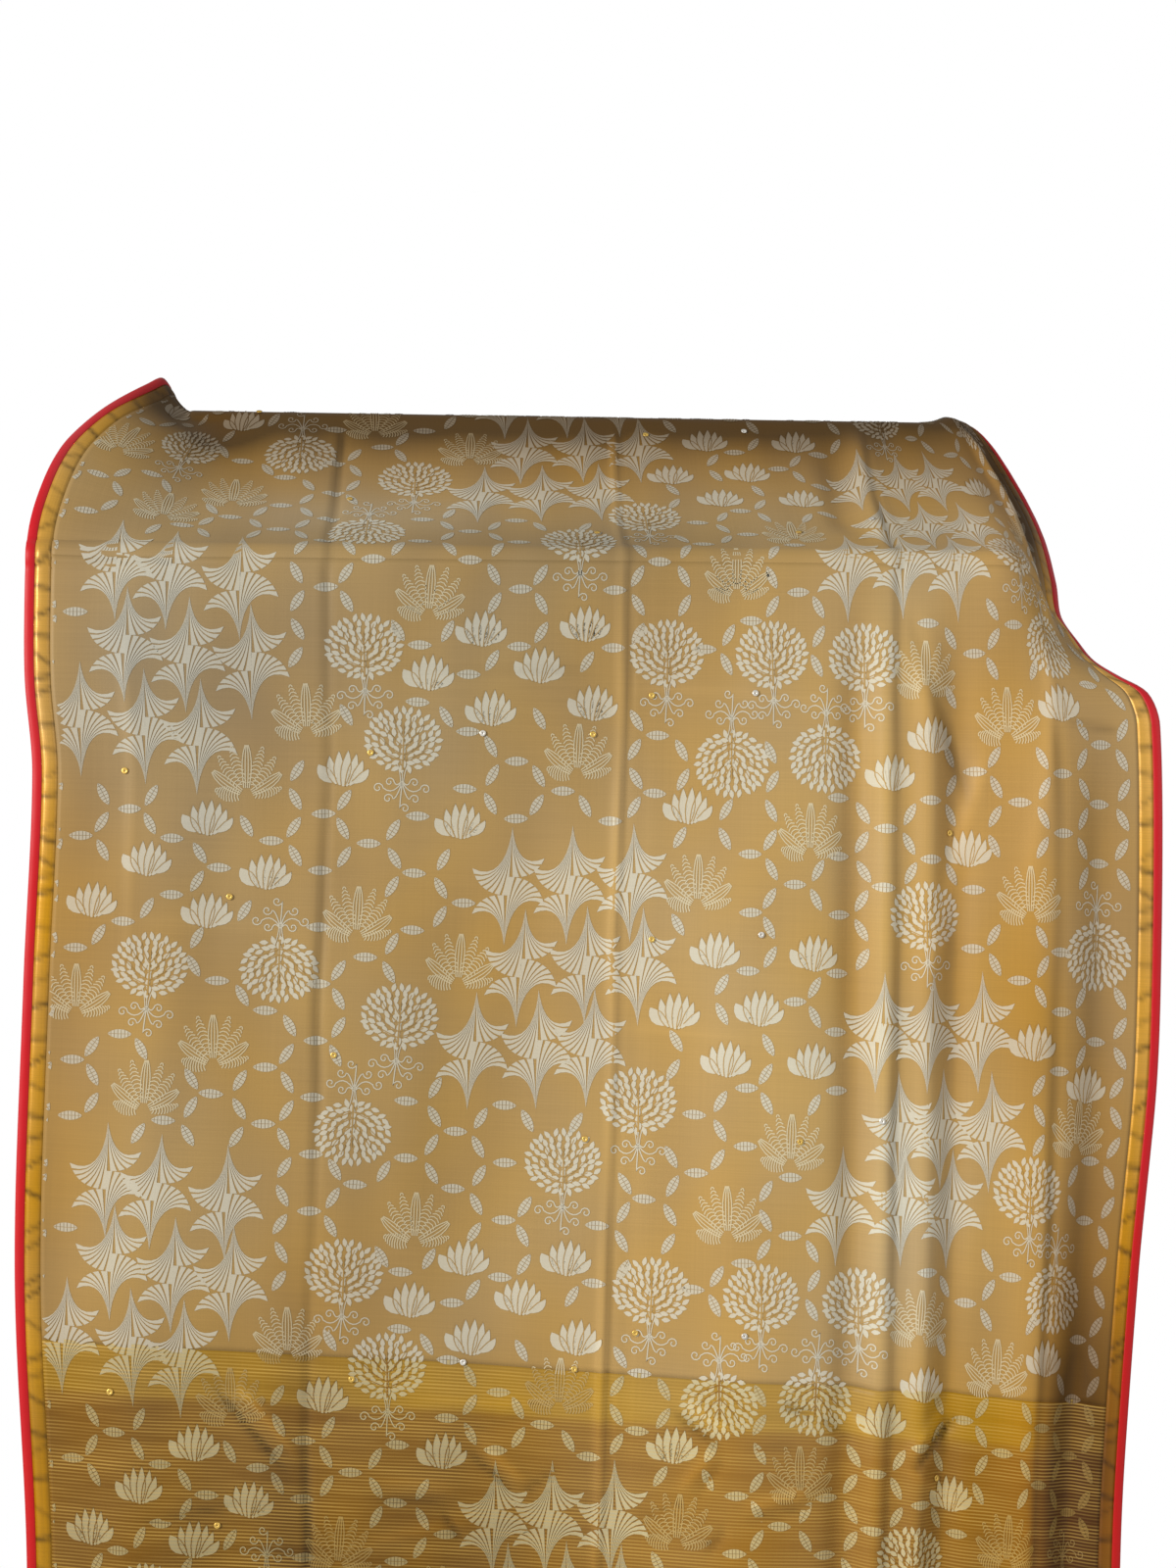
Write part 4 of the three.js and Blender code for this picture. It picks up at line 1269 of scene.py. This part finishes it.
def all_stamps():
    """The bands, then the unprinted lines, then the leaves: shapes, places with a turn, and tint."""
    stamps = []
    for part in ("bands", "lines"):
        for motif in MOTIFS:
            if part in motif:
                places = np.array([(*place, motif["turn"]) for place in motif["places"]], float)
                tint = "ground" if part == "lines" else motif["tint"]
                stamps.append((motif_mesh(motif[part]()), places, tint))
    stamps.append((motif_mesh(grid_leaf()), np.array(ring_leaves(), float), "leaf"))
    return stamps


def printed(name, c_from, c_to, material, colours):
    """All the print between two weft rows, as one thin sheet of shapes just above the cloth."""
    parts = []
    start = 0
    for shapes, places, tint in all_stamps():
        for k in repeats(c_from, c_to):
            cs = places[:, 1] + k * REPEAT
            near = (cs > c_from - MOTIF_REACH) & (cs < c_to + MOTIF_REACH)
            if not near.any():
                continue
            us, cs, leans = places[near, 0], cs[near], places[near, 2]
            wobble = 1.5 * np.sin(us * 0.7 + k) + 1.2 * np.sin(cs * 0.31)
            u, c, faces = stamp(shapes, us + wobble, cs, leans + wobble)
            inside = (u > BODY_LEFT + PRINT_MARGIN) & (u < BODY_RIGHT - PRINT_MARGIN)
            middle = c[faces].mean(axis=1)
            faces = faces[inside[faces].all(axis=1) & (middle >= c_from) & (middle < c_to)]
            used, numbers = np.unique(faces, return_inverse=True)
            tints = np.broadcast_to(colours[tint], (len(used), 3))
            lifts = np.full(len(used), LINE_LIFT if tint == "ground" else PRINT_LIFT)
            parts.append((u[used], c[used], numbers.reshape(-1, 4) + start, tints, lifts))
            start += len(used)
    u, c, faces, tints, lifts = (np.concatenate(kind) for kind in zip(*parts))
    v = v_of(c, u)
    point, normal = cloth_side(u, v, np.zeros_like(u))
    shade = painted_light_and_tone_of(u, v)
    shade[:, 0] = np.where(lifts == PRINT_LIFT, 1 + INK_SHADE * (shade[:, 0] - 1), shade[:, 0])
    lifted = point + normal * lifts[:, None]
    return new_mesh(name, lifted, faces, material, np.stack([u, c], 1), tinted(tints, shade))


INK = {"print": PRINT, "hatch": HATCH, "leaf": PRINT * 0.96, "ground": GROUND}
PALLU_INK = {
    "print": linear(205, 192, 150),
    "hatch": linear(190, 162, 105),
    "leaf": linear(198, 182, 136),
    "ground": PALLU_GROUND,
}


def print_pieces():
    return {
        "rear_fall": printed("rear_fall_print", PRINTED_FROM, REAR_CREST, print_ink, INK),
        "top_slope": printed("top_slope_print", REAR_CREST, 0, print_ink, INK),
        "front_fall": printed("front_fall_print", 0, PALLU_START, print_ink, INK),
        "pallu": printed("pallu_print", PALLU_START, PALLU_END - PIPING_WIDTH - 4, pallu_ink, PALLU_INK),
    }


# Sequins, a few to each repeat of the print: u, c and whether it is a silver one
SEQUINS = (
    (327, 187, 0), (435, 166, 1), (543, 165, 0), (607, 358, 0), (715, 350, 1), (547, 550, 0), (758, 543, 0),
    (601, 127, 0), (706, 123, 1), (196, 330, 0), (910, 250, 0), (840, 520, 1), (300, 480, 0), (90, 210, 0),
)
SEQUIN_RADIUS = 3.0
SEQUIN_SIDES = 12
SEQUIN_CLEAR = 8
DISH = SEQUIN_RADIUS * 0.55

# The disc's cross-section as a closed loop of rings: radius, and height above the cloth
SEQUIN_RINGS = ((0.6, 0.5), (DISH, 0.5), (SEQUIN_RADIUS, 1.1), (SEQUIN_RADIUS, 1.5), (DISH, 0.9), (0.6, 0.9))


def sequin_points(u, c):
    """The points of one disc, ring after ring."""
    points, normals = cloth_side(np.array([u]), np.array([v_of(c, u)]), np.zeros(1))
    normal = normals[0]
    across = np.cross([0, 0, 1.0], normal)
    across /= np.linalg.norm(across)
    angle = np.linspace(0, 2 * math.pi, SEQUIN_SIDES, endpoint=False)[:, None]
    rim = np.cos(angle) * across + np.sin(angle) * np.cross(normal, across)
    return np.concatenate([points[0] + radius * rim + height * normal for radius, height in SEQUIN_RINGS])


def sequin_faces():
    here = np.arange(len(SEQUIN_RINGS) * SEQUIN_SIDES).reshape(-1, SEQUIN_SIDES)
    after = np.roll(here, -1, axis=0)
    return np.stack([np.roll(after, -1, axis=1), after, here, np.roll(here, -1, axis=1)], -1).reshape(-1, 4)


def sequins(name, c_from, c_to, silver, material):
    """Small round discs with a dished middle, lying on the cloth."""
    discs = []
    for u, c_first, is_silver in SEQUINS:
        for k in repeats(c_from, c_to):
            c = c_first + k * REPEAT
            if is_silver == silver and c_from + SEQUIN_CLEAR < c < c_to - SEQUIN_CLEAR:
                discs.append(sequin_points(float(u), c))
    faces = [sequin_faces() + number * len(disc) for number, disc in enumerate(discs)]
    return new_mesh(name, np.concatenate(discs), np.concatenate(faces), material)


# Putting the pieces in place
def put(piece, slot, *nodes):
    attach(piece, "root")
    if nodes:
        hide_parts(*nodes)
    return piece


def build_saree():
    cloth = cloth_pieces()
    prints = print_pieces()
    for name, piece in cloth.items():
        put(piece, "pallu_cloth" if name == "pallu" else "cloth", name)
    for name, piece in prints.items():
        put(piece, "pallu_cloth" if name == "pallu" else "cloth")
    left = border("border_left_zari", PIPING_WIDTH, BODY_LEFT)
    right = border("border_right_zari", BODY_RIGHT, CLOTH_WIDTH - PIPING_WIDTH)
    left_piping = piping("piping_left_silk", 0, PIPING_WIDTH)
    right_piping = piping("piping_right_silk", CLOTH_WIDTH - PIPING_WIDTH, CLOTH_WIDTH)
    end = end_piping()
    put(left, "zari", "border_left")
    put(right, "zari", "border_right")
    put(left_piping, "piping", "piping_left")
    put(right_piping, "piping", "piping_right")
    put(end, "piping", "piping_end")
    spots = []
    for stretch, c_from, c_to in (("slope_and_rear", PRINTED_FROM, 0), ("front", 0, PALLU_END - 20)):
        spots.append(put(sequins("sequins_gold_" + stretch, c_from, c_to, 0, sequin_gold), "zari"))
        spots.append(put(sequins("sequins_silver_" + stretch, c_from, c_to, 1, sequin_silver), "zari"))
    lengths = {
        "front_fall": PALLU_START,
        "top_slope": -REAR_CREST,
        "rear_fall": REAR_CREST - REAR_FALL_END,
        "rear_inner": SLOPE_HEAD - REAR_FALL_END,
        "pallu": PALLU_END - PIPING_WIDTH - PALLU_START,
    }
    trims = [left, right, left_piping, right_piping, *spots]
    for name, length in lengths.items():
        own = [prints[name]] if name in prints else []
        if name == "front_fall":
            own += trims
        if name == "pallu":
            own.append(end)


def paint_rail():
    for name in ("rail_rear", "rail_front", "arm_left", "arm_right"):
        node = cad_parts[name]
        node.data.materials.clear()
        node.data.materials.append(rail_paint)


# Floor, room, lights and camera
FLOOR_Z = -1.90
FLOOR_HALF = 2.2
ROOM_STRENGTH = 0.30
CAMERA_YAW = 6.5
CAMERA_PLACE = (-0.2855, -2.6392, -0.3616)
CAMERA_LENS = 58.88
SENSOR_HEIGHT = 36


def build_floor():
    mesh = bpy.data.meshes.new("floor")
    corners = [(x * FLOOR_HALF, y * FLOOR_HALF, FLOOR_Z) for x, y in ((-1, -1), (1, -1), (1, 1), (-1, 1))]
    mesh.from_pydata(corners, [], [(0, 1, 2, 3)])
    mesh.materials.append(plain_material("floor", (0.8, 0.79, 0.77), 0.8))
    floor = bpy.data.objects.new("floor", mesh)
    bpy.context.scene.collection.objects.link(floor)


def build_room():
    """Soft light from all round, which the camera sees as plain white."""
    world = bpy.data.worlds.new("studio")
    world.use_nodes = True
    tree = world.node_tree
    room = tree.nodes["Background"]
    set_inputs(tree, room, {"Color": (0.95, 0.97, 1.0, 1), "Strength": ROOM_STRENGTH})
    white = linked(tree, "ShaderNodeBackground", {"Color": (1, 1, 1, 1), "Strength": 1.0})
    seen = linked(tree, "ShaderNodeLightPath").outputs["Is Camera Ray"]
    mix = linked(tree, "ShaderNodeMixShader", {0: seen, 1: room.outputs[0], 2: white.outputs[0]})
    tree.links.new(mix.outputs[0], tree.nodes["World Output"].inputs["Surface"])
    bpy.context.scene.world = world


def soft_light(name, place, target, size, watts, colour):
    lamp = bpy.data.lights.new(name, "AREA")
    lamp.shape = "SQUARE"
    lamp.size = size
    lamp.energy = watts
    lamp.color = colour
    light = bpy.data.objects.new(name, lamp)
    light.location = place
    aim = Vector(target) - Vector(place)
    light.rotation_euler = aim.to_track_quat("-Z", "Y").to_euler()
    bpy.context.scene.collection.objects.link(light)


def build_lights():
    soft_light("key", (-3.0, -2.5, 0.55), (0, -0.2, -0.6), 1.0, 134, (1.0, 0.97, 0.92))
    soft_light("fill", (2.4, -2.6, 0.2), (0.1, -0.2, -0.8), 2.2, 24, (1.0, 0.95, 0.9))


def build_camera():
    camera = bpy.data.objects.new("camera", bpy.data.cameras.new("camera"))
    camera.data.sensor_fit = "VERTICAL"
    camera.data.sensor_height = SENSOR_HEIGHT
    camera.data.lens = CAMERA_LENS
    camera.location = CAMERA_PLACE
    camera.rotation_euler = (math.radians(90), 0, math.radians(-CAMERA_YAW))
    bpy.context.scene.collection.objects.link(camera)
    bpy.context.scene.camera = camera


build_saree()
paint_rail()
build_floor()
build_room()
build_lights()
build_camera()
bpy.context.scene.view_settings.view_transform = "Standard"
